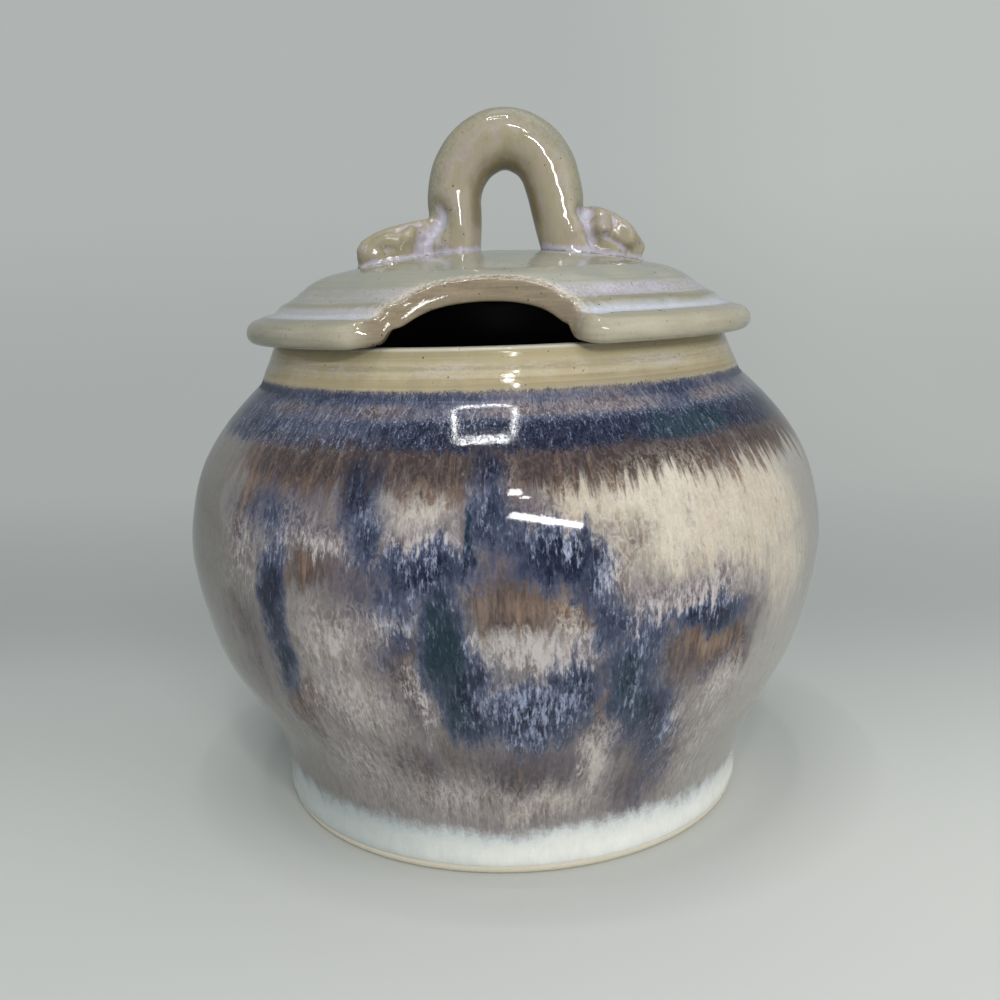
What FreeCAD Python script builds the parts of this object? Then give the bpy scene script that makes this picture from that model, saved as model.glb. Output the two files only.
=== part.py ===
import FreeCAD, Part

import math
import os

from FreeCAD import Vector

# Stoneware honey pot with a loose lid, in millimetres. +Z is up, the origin is the middle of the
# foot's base, and the lid's spoon notch faces -Y. Pot and lid are thrown, so they are turned about
# the Z axis.

# Pot: a low foot, a round belly and a short collar that carries the lid
FOOT_RADIUS = 45.4
FOOT_CHAMFER = 1.2
FOOT_RING_WIDTH = 7.0
FOOT_RECESS = 3.5
WAIST_HEIGHT = 5.0
BELLY_RADIUS = 60.7
BELLY_HEIGHT = 51.0
COLLAR_BASE_RADIUS = 44.8
COLLAR_HEIGHT = 5.6
RIM_RADIUS = 43.1
RIM_HEIGHT = 89.0
LIP_ROUND = 0.8
COLLAR_WALL = 4.2
MOUTH_DEPTH = 5.6
BELLY_WALL = 4.6
FLOOR_THICKNESS = 5.0
FLOOR_FLAT_RADIUS = 30.0
FLOOR_CORNER_RADIUS = 38.0
FLOOR_CORNER_RISE = 2.0

# The belly's curve between those sizes, as shares of the way up and of the way out: from the waist
# at 0, 0 to the belly at 1, 1, and from the belly at 0, 1 to the collar's base at 1, 0
LOWER_BELLY_UP_RATIOS = (0.11, 0.24, 0.41, 0.59, 0.78)
LOWER_BELLY_OUT_RATIOS = (0.05, 0.21, 0.49, 0.74, 0.885)
UPPER_BELLY_UP_RATIOS = (0.21, 0.46, 0.71, 0.90)
UPPER_BELLY_OUT_RATIOS = (0.96, 0.83, 0.53, 0.17)

# Lid: a domed disc with two grooves for glaze pools around it, and a ring below that keeps it in
# the mouth and is left open behind the spoon notch. Its heights are above the pot's rim.
LID_OVERHANG = 4.5
LID_EDGE_HEIGHT = 2.0
LID_EDGE_ROUND = 1.8
LID_EDGE_BOW = 0.45
RIM_BAND_WIDTH = 2.7
RIM_BAND_HEIGHT = 4.5
RIM_BAND_BOW = 0.7
LOWER_POOL_WIDTH = 3.5
LOWER_POOL_DEPTH = 0.45
RIDGE_WIDTH = 1.0
RIDGE_HEIGHT = 5.9
RIDGE_STEP = 1.1
RIDGE_BOW = 0.28
UPPER_POOL_WIDTH = 1.8
UPPER_POOL_DEPTH = 0.4
SHOULDER_WIDTH = 7.6
SHOULDER_HEIGHT = 12.0
SHOULDER_BOW = 0.45
SHOULDER_FOOT_HEIGHT = 8.0
CROWN_HEIGHT = 15.6
CROWN_WALL = 5.0
SEAT_WIDTH = 1.6
VAULT_FOOT_WIDTH = 6.5
VAULT_FOOT_HEIGHT = 6.8
VAULT_FOOT_BOW = 0.3
FLANGE_CLEARANCE = 0.8
FLANGE_WIDTH = 2.8
FLANGE_DEPTH = 4.5
FLANGE_BITE = 1.2
FLANGE_GAP_DEG = 70.0

# Spoon notch: a half oval cut in from the lid's edge with a slanted knife, so it widens upwards.
# Its depth and half width are at the height of the rim band's top. A rounded lug ends each side.
NOTCH_DEPTH = 10.7
NOTCH_HALF_WIDTH = 16.6
NOTCH_SLOPE = 0.4
NOTCH_TOP_CLEARANCE = 2.0
NOTCH_BOTTOM_CLEARANCE = 0.5
LUG_ROUND = 2.5
LUG_SPILL = 0.3

# Handle: one coil of clay bent to an arch, its two ends turned out and pressed on the lid
HANDLE_TURN_DEG = 3.0
HANDLE_OFFSET = 2.1
ARCH_RADIUS = 9.5
ARCH_RISE = 11.0
LEFT_LEAN_DEG = 3.0
RIGHT_LEAN_DEG = 12.0
LEG_COIL_RADIUS = 5.05
CROWN_COIL_RADIUS = 5.75
COIL_SINK = 2.2

# Each turned-out end: how far it reaches from the arch's middle, how far it turns to the front in
# plan, and its stations from the leg to its tip: the share of the way, and there the half width and
# the height over the lid
LEFT_REACH = 28.0
LEFT_TURN_DEG = 16.0
LEFT_WAY_RATIOS = (0.0, 0.3, 0.58, 0.8, 0.93, 1.0)
LEFT_SECTIONS = ((5.0, 6.6), (4.9, 7.4), (4.6, 6.5), (4.2, 6.4), (3.0, 4.8), (1.4, 2.6))
RIGHT_REACH = 26.8
RIGHT_TURN_DEG = -9.0
RIGHT_WAY_RATIOS = (0.0, 0.3, 0.55, 0.78, 0.93, 1.0)
RIGHT_SECTIONS = ((5.0, 6.6), (5.0, 8.9), (4.8, 7.8), (4.2, 5.9), (3.0, 3.8), (1.5, 2.0))
END_PRESS = 1.2
END_FLATNESS_RATIO = 0.98

# Rounds of clay that shape the coil over the arch and down each leg
ARCH_STEPS = 10
LEG_STEPS = 4

# The collar's base and mouth, and the radii of the lid's steps from its edge to its dome
COLLAR_BASE_HEIGHT = RIM_HEIGHT - COLLAR_HEIGHT
MOUTH_RADIUS = RIM_RADIUS - COLLAR_WALL
LID_RADIUS = RIM_RADIUS + LID_OVERHANG
BAND_RADIUS = LID_RADIUS - RIM_BAND_WIDTH
RIDGE_FOOT_RADIUS = BAND_RADIUS - LOWER_POOL_WIDTH
RIDGE_TOP_RADIUS = RIDGE_FOOT_RADIUS - RIDGE_WIDTH
SHOULDER_FOOT_RADIUS = RIDGE_TOP_RADIUS - UPPER_POOL_WIDTH
SHOULDER_RADIUS = SHOULDER_FOOT_RADIUS - SHOULDER_WIDTH
CROWN_FALL = CROWN_HEIGHT - SHOULDER_HEIGHT
DOME_RADIUS = (SHOULDER_RADIUS ** 2 + CROWN_FALL ** 2) / (2 * CROWN_FALL)
SEAT_RADIUS = RIM_RADIUS - SEAT_WIDTH

ORIGIN = Vector(0, 0, 0)
UP = Vector(0, 0, 1)


def at(radius, height):
    """A point of a thrown piece's outline."""
    return Vector(radius, 0, height)


def line(a, b):
    return Part.LineSegment(a, b).toShape()


def arc(a, middle, b):
    return Part.Arc(a, middle, b).toShape()


def bowed(a, b, bow):
    """An arc from a to b that swells by bow to the left of its chord, seen from -Y."""
    chord = b - a
    side = Vector(-chord.z, 0, chord.x).normalize()
    return arc(a, (a + b) * 0.5 + side * bow, b)


def spline(points):
    curve = Part.BSplineCurve()
    curve.interpolate(points)
    return curve


def thrown(edges):
    """The solid that a closed outline sweeps in a full turn about the Z axis."""
    face = Part.Face(Part.Wire(edges))
    return face.revolve(ORIGIN, UP, 360)


def inward(curve, point, thickness):
    """The point of the inner wall that faces a point of the outer one."""
    tangent = curve.tangent(curve.parameter(point))[0]
    return point + Vector(-tangent.z, 0, tangent.x) * thickness


def make_pot():
    foot_edge = at(FOOT_RADIUS, FOOT_CHAMFER)
    waist = at(FOOT_RADIUS, WAIST_HEIGHT)
    belly = at(BELLY_RADIUS, BELLY_HEIGHT)
    collar_base = at(COLLAR_BASE_RADIUS, COLLAR_BASE_HEIGHT)
    swell = belly - waist
    draw = collar_base - belly
    lower_ratios = zip(LOWER_BELLY_UP_RATIOS, LOWER_BELLY_OUT_RATIOS)
    upper_ratios = zip(UPPER_BELLY_UP_RATIOS, UPPER_BELLY_OUT_RATIOS)
    lower = [waist + Vector(out * swell.x, 0, up * swell.z) for up, out in lower_ratios]
    upper = [collar_base - Vector(out * draw.x, 0, (1 - up) * draw.z) for up, out in upper_ratios]
    outer = spline([foot_edge, waist] + lower + [belly] + upper + [collar_base])

    floor_height = FOOT_RECESS + FLOOR_THICKNESS
    floor_edge = at(FLOOR_FLAT_RADIUS, floor_height)
    floor_corner = at(FLOOR_CORNER_RADIUS, floor_height + FLOOR_CORNER_RISE)
    wall = [inward(outer, point, BELLY_WALL) for point in lower[1:] + [belly] + upper]
    mouth_foot = at(MOUTH_RADIUS, RIM_HEIGHT - MOUTH_DEPTH)
    inner = spline([floor_edge, floor_corner] + wall + [mouth_foot])

    ring_inner = FOOT_RADIUS - FOOT_RING_WIDTH
    recess_edge = at(ring_inner - FOOT_RECESS, FOOT_RECESS)
    foot_outer = at(FOOT_RADIUS - FOOT_CHAMFER, 0)
    corner = LIP_ROUND * (1 - math.sqrt(0.5))
    outer_low = at(RIM_RADIUS, RIM_HEIGHT - LIP_ROUND)
    outer_top = at(RIM_RADIUS - LIP_ROUND, RIM_HEIGHT)
    inner_top = at(MOUTH_RADIUS + LIP_ROUND, RIM_HEIGHT)
    inner_low = at(MOUTH_RADIUS, RIM_HEIGHT - LIP_ROUND)
    return thrown([
        line(at(0, FOOT_RECESS), recess_edge),
        line(recess_edge, at(ring_inner, 0)),
        line(at(ring_inner, 0), foot_outer),
        line(foot_outer, foot_edge),
        outer.toShape(),
        line(collar_base, outer_low),
        arc(outer_low, at(RIM_RADIUS - corner, RIM_HEIGHT - corner), outer_top),
        line(outer_top, inner_top),
        arc(inner_top, at(MOUTH_RADIUS + corner, RIM_HEIGHT - corner), inner_low),
        line(inner_low, mouth_foot),
        inner.toShape(),
        line(floor_edge, at(0, floor_height)),
        line(at(0, floor_height), at(0, FOOT_RECESS)),
    ])


def dome_height(radius):
    """The height of the lid's dome at a distance from its middle, above the pot's base."""
    drop = DOME_RADIUS - math.sqrt(DOME_RADIUS ** 2 - radius ** 2)
    return RIM_HEIGHT + CROWN_HEIGHT - drop


def vault_middle(edge, top):
    """The middle of the arc that runs from a vault's edge to its top and is level there."""
    fall = top.z - edge.z
    sphere = (edge.x ** 2 + fall ** 2) / (2 * fall)
    radius = edge.x / 2
    return at(radius, top.z - sphere + math.sqrt(sphere ** 2 - radius ** 2))


def make_lid_disc():
    seat = RIM_HEIGHT
    crown = at(0, seat + CROWN_HEIGHT)
    crown_side = at(SHOULDER_RADIUS / 2, dome_height(SHOULDER_RADIUS / 2))
    shoulder = at(SHOULDER_RADIUS, seat + SHOULDER_HEIGHT)
    shoulder_foot = at(SHOULDER_FOOT_RADIUS, seat + SHOULDER_FOOT_HEIGHT)
    ridge_top = at(RIDGE_TOP_RADIUS, seat + RIDGE_HEIGHT + RIDGE_STEP)
    ridge_foot = at(RIDGE_FOOT_RADIUS, seat + RIDGE_HEIGHT)
    band_top = at(BAND_RADIUS, seat + RIM_BAND_HEIGHT)
    edge = at(LID_RADIUS, seat + LID_EDGE_HEIGHT)
    edge_foot = at(LID_RADIUS - LID_EDGE_ROUND, seat)
    seat_inner = at(SEAT_RADIUS, seat)
    vault_edge = at(SEAT_RADIUS - VAULT_FOOT_WIDTH, seat + VAULT_FOOT_HEIGHT)
    vault_top = at(0, seat + CROWN_HEIGHT - CROWN_WALL)
    return thrown([
        arc(crown, crown_side, shoulder),
        bowed(shoulder, shoulder_foot, SHOULDER_BOW),
        bowed(shoulder_foot, ridge_top, -UPPER_POOL_DEPTH),
        bowed(ridge_top, ridge_foot, RIDGE_BOW),
        bowed(ridge_foot, band_top, -LOWER_POOL_DEPTH),
        bowed(band_top, edge, RIM_BAND_BOW),
        bowed(edge, edge_foot, LID_EDGE_BOW),
        line(edge_foot, seat_inner),
        bowed(seat_inner, vault_edge, -VAULT_FOOT_BOW),
        arc(vault_edge, vault_middle(vault_edge, vault_top), vault_top),
        line(vault_top, crown),
    ])


def make_flange():
    """The ring under the lid, which bites into the lid's slanted underside."""
    outer = MOUTH_RADIUS - FLANGE_CLEARANCE
    inner = outer - FLANGE_WIDTH
    foot = RIM_HEIGHT - FLANGE_DEPTH

    def top(radius):
        return RIM_HEIGHT + VAULT_FOOT_HEIGHT * (SEAT_RADIUS - radius) / VAULT_FOOT_WIDTH + FLANGE_BITE

    section = Part.Face(Part.makePolygon([
        at(outer, foot), at(outer, top(outer)), at(inner, top(inner)), at(inner, foot), at(outer, foot)
    ]))
    section.rotate(ORIGIN, UP, FLANGE_GAP_DEG / 2 - 90)
    return section.revolve(ORIGIN, UP, 360 - FLANGE_GAP_DEG)


def notch_outline(height):
    """The notch's outline in a level plane at a height above the pot's rim."""
    widen = NOTCH_SLOPE * (height - RIM_BAND_HEIGHT)
    lug_x = NOTCH_HALF_WIDTH + LUG_ROUND
    lug_reach = LID_RADIUS + LUG_SPILL - LUG_ROUND
    lug_y = -math.sqrt(lug_reach ** 2 - lug_x ** 2)
    half_width = NOTCH_HALF_WIDTH + widen
    apex_y = NOTCH_DEPTH + widen - LID_RADIUS
    level = RIM_HEIGHT + height
    beyond = 2 * LID_RADIUS

    def lug(side):
        """The arc round a lug, the lug's tip, and a point out beyond the lid."""
        centre = Vector(side * (half_width + LUG_ROUND), lug_y, level)
        out = Vector(centre.x, centre.y, 0).normalize()
        inner = Vector(-side, 0, 0)
        middle = (out + inner).normalize()
        tip = centre + out * LUG_ROUND
        return arc(centre + inner * LUG_ROUND, centre + middle * LUG_ROUND, tip), tip, centre + out * beyond

    right_round, right_tip, right_out = lug(1)
    left_round, left_tip, left_out = lug(-1)
    oval = Part.Ellipse(Vector(0, lug_y, level), half_width, apex_y - lug_y)
    far = Vector(0, -2 * beyond, level)
    return Part.Wire([
        Part.ArcOfEllipse(oval, 0, math.pi).toShape(),
        left_round,
        line(left_tip, left_out),
        line(left_out, far),
        line(far, right_out),
        line(right_out, right_tip),
        right_round,
    ])


def make_lid():
    bottom = notch_outline(-NOTCH_BOTTOM_CLEARANCE)
    top = notch_outline(CROWN_HEIGHT + NOTCH_TOP_CLEARANCE)
    notch = Part.makeLoft([bottom, top], True, True)
    return make_lid_disc().cut(notch).fuse(make_flange())


def placed_on_lid(shape):
    """Moves a shape from the handle's own frame to its place on the lid."""
    shape.translate(Vector(HANDLE_OFFSET, 0, 0))
    shape.rotate(ORIGIN, UP, HANDLE_TURN_DEG)
    return shape


def arch_path():
    """The coil's centre line as (point, lean, radius), from the left leg over to the right one."""
    low = dome_height(ARCH_RADIUS + LEG_COIL_RADIUS) - COIL_SINK
    middle = RIM_HEIGHT + CROWN_HEIGHT + ARCH_RISE
    start = 180 - LEFT_LEAN_DEG
    end = RIGHT_LEAN_DEG
    arch = []
    for step in range(ARCH_STEPS + 1):
        way = step / ARCH_STEPS
        angle = math.radians(start + (end - start) * way)
        point = Vector(ARCH_RADIUS * math.cos(angle), 0, middle + ARCH_RADIUS * math.sin(angle))
        swell = math.sin(math.pi * way)
        radius = LEG_COIL_RADIUS + (CROWN_COIL_RADIUS - LEG_COIL_RADIUS) * swell
        arch.append((point, 180 - math.degrees(angle), radius))

    def leg(station):
        """Stations up a straight leg, from its foot in the lid to just below the arch."""
        point, lean, radius = station
        fall = Vector(math.sin(math.radians(lean)), 0, math.cos(math.radians(lean)))
        length = (low - point.z) / fall.z
        steps = range(LEG_STEPS, 0, -1)
        return [(point + fall * (length * step / LEG_STEPS), lean, radius) for step in steps]

    return leg(arch[0]) + arch + leg(arch[-1])[::-1]


def make_handle_arch(lid):
    rings = []
    for point, lean, radius in arch_path():
        ring = Part.Wire(Part.Circle(ORIGIN, UP, radius).toShape())
        ring.rotate(ORIGIN, Vector(0, 1, 0), lean)
        ring.translate(point)
        rings.append(ring)
    return placed_on_lid(Part.makeLoft(rings, True, False)).cut(lid)


def make_turned_end(side, reach, turn_deg, way_ratios, sections):
    """A pressed end of the coil: ovals across it, from inside the leg to its tip."""
    leg = arch_path()[0 if side < 0 else -1][0]
    turn = math.radians(turn_deg)
    way_out = Vector(side * math.cos(turn), -math.sin(turn), 0)
    across = Vector(-way_out.y, way_out.x, 0)
    length = (reach - abs(leg.x)) / math.cos(turn)
    ovals = []
    for way, (half_width, height) in zip(way_ratios, sections):
        spot = Vector(leg.x, 0, 0) + way_out * (way * length)
        ground = dome_height(math.hypot(spot.x + HANDLE_OFFSET, spot.y)) - END_PRESS
        half_height = min((height + END_PRESS) / 2, half_width * END_FLATNESS_RATIO)
        centre = Vector(spot.x, spot.y, ground + half_height)
        oval = Part.Ellipse(centre + across * half_width, centre + Vector(0, 0, half_height), centre)
        ovals.append(Part.Wire(oval.toShape()))
    return placed_on_lid(Part.makeLoft(ovals, True, False))


pot = make_pot()
lid = make_lid()
handle_arch = make_handle_arch(lid)
left_end = make_turned_end(-1, LEFT_REACH, LEFT_TURN_DEG, LEFT_WAY_RATIOS, LEFT_SECTIONS)
right_end = make_turned_end(1, RIGHT_REACH, RIGHT_TURN_DEG, RIGHT_WAY_RATIOS, RIGHT_SECTIONS)

NODES = {
    "pot": pot,
    "lid": lid,
    "handle_arch": handle_arch,
    "handle_left_end": left_end.cut(lid).cut(handle_arch),
    "handle_right_end": right_end.cut(lid).cut(handle_arch),
}

os.makedirs("parts", exist_ok=True)
for name, shape in NODES.items():
    shape.exportStep("parts/" + name + ".step")
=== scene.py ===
import math

import bpy
import numpy as np
from bpy.props import FloatProperty, FloatVectorProperty, IntProperty, PointerProperty
from mathutils import Matrix, Vector, noise


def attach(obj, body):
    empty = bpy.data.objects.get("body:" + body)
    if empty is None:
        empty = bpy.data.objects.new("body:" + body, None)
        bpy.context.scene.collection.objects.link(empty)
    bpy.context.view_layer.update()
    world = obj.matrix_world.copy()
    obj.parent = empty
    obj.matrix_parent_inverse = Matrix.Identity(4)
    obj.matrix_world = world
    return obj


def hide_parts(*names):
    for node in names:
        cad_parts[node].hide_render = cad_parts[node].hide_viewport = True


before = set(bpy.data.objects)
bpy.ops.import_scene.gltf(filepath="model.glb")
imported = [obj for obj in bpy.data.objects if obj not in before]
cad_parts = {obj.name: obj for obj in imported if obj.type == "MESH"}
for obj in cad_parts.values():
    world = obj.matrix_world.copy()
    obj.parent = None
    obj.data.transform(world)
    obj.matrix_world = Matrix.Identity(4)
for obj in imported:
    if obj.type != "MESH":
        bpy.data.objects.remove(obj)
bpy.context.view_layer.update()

bl_info = {
    "name": "Honey pot",
    "version": (1, 0, 0),
    "blender": (4, 5, 0),
    "location": "3D view > Sidebar > Honey pot",
    "description": "A thrown, glazed honey pot with a loose notched lid and a coil handle",
    "category": "Add Mesh",
}

MM = 0.001

# The camera stands 3 degrees to the right of the part's front
FRONT_TURN = 3.0

# How strongly the pot and the lid mirror the room, where 0.5 is plain glass, and how much their
# glaze bends light
POT_GLOSS = 0.30
LID_GLOSS = 0.42
GLAZE_IOR = 1.52

# Points of a mesh that are nearer to each other than this, in millimetres, become one
SAME_POINT = 0.004

# The sizes in millimetres at which the pieces are drawn
BELLY_WIDTH = 121.3
RIM_HEIGHT = 89.0
COIL_WIDTH = 10.3


def linear(red, green, blue):
    """A colour written in sRGB from 0 to 255, as Blender's linear values."""
    shares = [value / 255 for value in (red, green, blue)]
    return tuple(s / 12.92 if s <= 0.04045 else ((s + 0.055) / 1.055) ** 2.4 for s in shares)


# ---- Sizes and colours ----

def length(name, description, millimetres):
    return FloatProperty(
        name=name, description=description, default=millimetres * MM, unit="LENGTH", precision=5
    )


def colour(name, description, red, green, blue):
    return FloatVectorProperty(
        name=name, description=description, default=linear(red, green, blue),
        subtype="COLOR", size=3, min=0.0, max=1.0,
    )


class HoneyPotSizes(bpy.types.PropertyGroup):
    belly_width: length("Belly width", "Width of the pot at its widest", BELLY_WIDTH)
    rim_height: length("Rim height", "Height of the pot's rim over the foot", RIM_HEIGHT)
    coil_width: length("Coil width", "Thickness of the handle's coil", COIL_WIDTH)
    columns: IntProperty(
        name="Columns", description="Steps round the pot and the lid", default=288, min=48
    )


class HoneyPotColours(bpy.types.PropertyGroup):
    navy: colour("Navy", "Thick cobalt glaze", 12, 22, 46)
    teal: colour("Teal", "Cobalt glaze over iron", 16, 42, 54)
    slate: colour("Slate", "Thin cobalt glaze", 60, 70, 94)
    lilac: colour("Lilac", "Crystals in the cobalt glaze", 150, 159, 184)
    mauve: colour("Mauve", "Thin cobalt glaze over iron", 88, 80, 88)
    brown: colour("Brown", "Iron glaze under the cobalt drips", 56, 43, 41)
    tan: colour("Tan", "Iron glaze where it thins", 140, 115, 95)
    cream: colour("Cream", "Thick pale glaze", 206, 196, 178)
    taupe: colour("Taupe", "Pale glaze over iron", 108, 102, 98)
    pearl: colour("Pearl", "Crystals in the pale glaze", 190, 182, 180)
    stone: colour("Stone", "Smooth pale glaze at the sides", 162, 159, 151)
    collar: colour("Collar", "Tan glaze on the collar", 178, 166, 134)
    foot: colour("Foot", "White glaze at the foot", 238, 239, 232)
    clay: colour("Clay", "Bare clay", 224, 216, 196)
    celadon: colour("Celadon", "Grey celadon glaze on the lid", 146, 149, 139)
    straw: colour("Straw", "Celadon glaze where it yellows", 158, 155, 136)
    olive: colour("Olive", "Celadon glaze where it breaks over an edge", 128, 121, 88)
    haze: colour("Haze", "Thin pooled glaze", 178, 172, 184)
    pool: colour("Pool", "Glaze pooled in the grooves", 198, 200, 212)
    rim: colour("Rim", "Glaze round the lid's edge", 180, 173, 150)
    khaki: colour("Khaki", "Glaze on the handle", 153, 146, 117)
    fawn: colour("Fawn", "Glaze on the handle where it runs pink", 162, 149, 132)
    cut: colour("Cut", "Thin glaze on the notch's cut face", 146, 132, 109)
    wall: colour("Wall", "The backdrop behind the pot", 176, 180, 178)
    floor: colour("Floor", "The floor under the pot", 206, 208, 203)


# ---- Modelling ----

def only(obj):
    """Selects one object alone and makes it active."""
    bpy.ops.object.select_all(action="DESELECT")
    obj.select_set(True)
    bpy.context.view_layer.objects.active = obj
    return obj


def points_of(obj):
    """A mesh's points in millimetres."""
    flat = np.zeros(len(obj.data.vertices) * 3)
    obj.data.vertices.foreach_get("co", flat)
    return flat.reshape(-1, 3) / MM


def move_points(obj, points):
    """Puts a mesh's points at these places in millimetres."""
    obj.data.vertices.foreach_set("co", (points * MM).ravel())
    obj.data.update()


def mark(obj, name, values):
    """Stores a number for each point of a mesh, for its glaze to read."""
    layer = obj.data.attributes.new(name, "FLOAT", "POINT")
    layer.data.foreach_set("value", np.asarray(values, dtype=np.float32))


def bezier(name, places, corners=(), closed=False, widths=()):
    """Draws a Bezier curve through places in millimetres. Places whose numbers are in corners get
    straight handles. A coil also has its half width at each place."""
    bpy.ops.object.select_all(action="DESELECT")
    bpy.ops.curve.primitive_bezier_curve_add(location=(0, 0, 0))
    curve = bpy.context.object
    curve.name = name
    points = curve.data.splines[0].bezier_points
    points.add(len(places) - 2)
    for point, place in zip(points, places):
        point.co = Vector(place) * MM
    for point, width in zip(points, widths):
        point.radius = width
    bpy.ops.object.mode_set(mode="EDIT")
    bpy.ops.curve.select_all(action="SELECT")
    bpy.ops.curve.handle_type_set(type="AUTOMATIC")
    if corners:
        bpy.ops.curve.select_all(action="DESELECT")
        for number in corners:
            curve.data.splines[0].bezier_points[number].select_control_point = True
        bpy.ops.curve.handle_type_set(type="VECTOR")
    if closed:
        bpy.ops.curve.select_all(action="SELECT")
        bpy.ops.curve.cyclic_toggle()
    bpy.ops.object.mode_set(mode="OBJECT")
    return curve


def as_mesh(curve, steps):
    """Turns a curve into a mesh, in some steps from each of its places to the next."""
    curve.data.resolution_u = steps
    bpy.ops.object.convert(target="MESH")
    return bpy.context.object


def drawn(name, places, corners=(), closed=False, steps=6):
    """A mesh line through places in millimetres."""
    return as_mesh(bezier(name, places, corners, closed), steps)


def coil(name, places, widths, steps):
    """A rolled coil of clay along places, with its half width at each."""
    curve = bezier(name, places, widths=widths)
    curve.data.dimensions = "3D"
    curve.data.bevel_depth = MM
    curve.data.bevel_resolution = 12
    curve.data.use_fill_caps = True
    return as_mesh(curve, steps)


def line_points(obj):
    """The places along a mesh line, in order, after which the line is deleted."""
    places = points_of(obj)
    bpy.data.objects.remove(obj)
    return places


def faced_out(obj):
    """Turns every face of a mesh outwards."""
    only(obj)
    bpy.ops.object.mode_set(mode="EDIT")
    bpy.ops.mesh.select_all(action="SELECT")
    bpy.ops.mesh.normals_make_consistent(inside=False)
    bpy.ops.object.mode_set(mode="OBJECT")


def spun(line, columns, angle=360.0, filled=False):
    """Turns a section line round the vertical axis into a closed skin. A section that goes only
    part of the way round is filled first, so that its ends are closed."""
    only(line)
    bpy.ops.object.mode_set(mode="EDIT")
    bpy.ops.mesh.select_all(action="SELECT")
    if filled:
        bpy.ops.mesh.edge_face_add()
        bpy.ops.mesh.select_all(action="SELECT")
    bpy.ops.mesh.spin(
        steps=columns, angle=math.radians(angle), center=(0, 0, 0), axis=(0, 0, 1)
    )
    bpy.ops.mesh.select_all(action="SELECT")
    bpy.ops.mesh.remove_doubles(threshold=SAME_POINT * MM)
    bpy.ops.object.mode_set(mode="OBJECT")
    faced_out(line)
    return line


def fitted(obj, sizes):
    """Makes a piece, drawn at the plain sizes, as wide and as high as the chosen ones. The lid and
    handle keep their shape and stand on the rim."""
    points = points_of(obj)
    wide = sizes.belly_width / (BELLY_WIDTH * MM)
    tall = sizes.rim_height / (RIM_HEIGHT * MM)
    points[:, :2] *= wide
    over = np.maximum(points[:, 2] - RIM_HEIGHT, 0.0)
    points[:, 2] = np.minimum(points[:, 2], RIM_HEIGHT) * tall + over * wide
    move_points(obj, points)


def finished(obj, name, material, body, nodes):
    """Names a piece, glazes it and puts it in the place of its CAD nodes."""
    only(obj)
    bpy.ops.object.shade_smooth()
    obj.name = name
    obj.data.name = name
    obj.data.materials.clear()
    obj.data.materials.append(material)
    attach(obj, body)
    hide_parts(*nodes)
    return obj


def smooth_step(low, high, value):
    """0 below low, 1 above high, and a smooth rise between them."""
    share = np.clip((value - low) / (high - low), 0.0, 1.0)
    return share * share * (3 - 2 * share)


def hill(centre, width, value):
    """A smooth rise to 1 at the centre, nearly gone two widths away."""
    return np.exp(-(((value - centre) / width) ** 2))


# ---- Glazes ----

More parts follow.
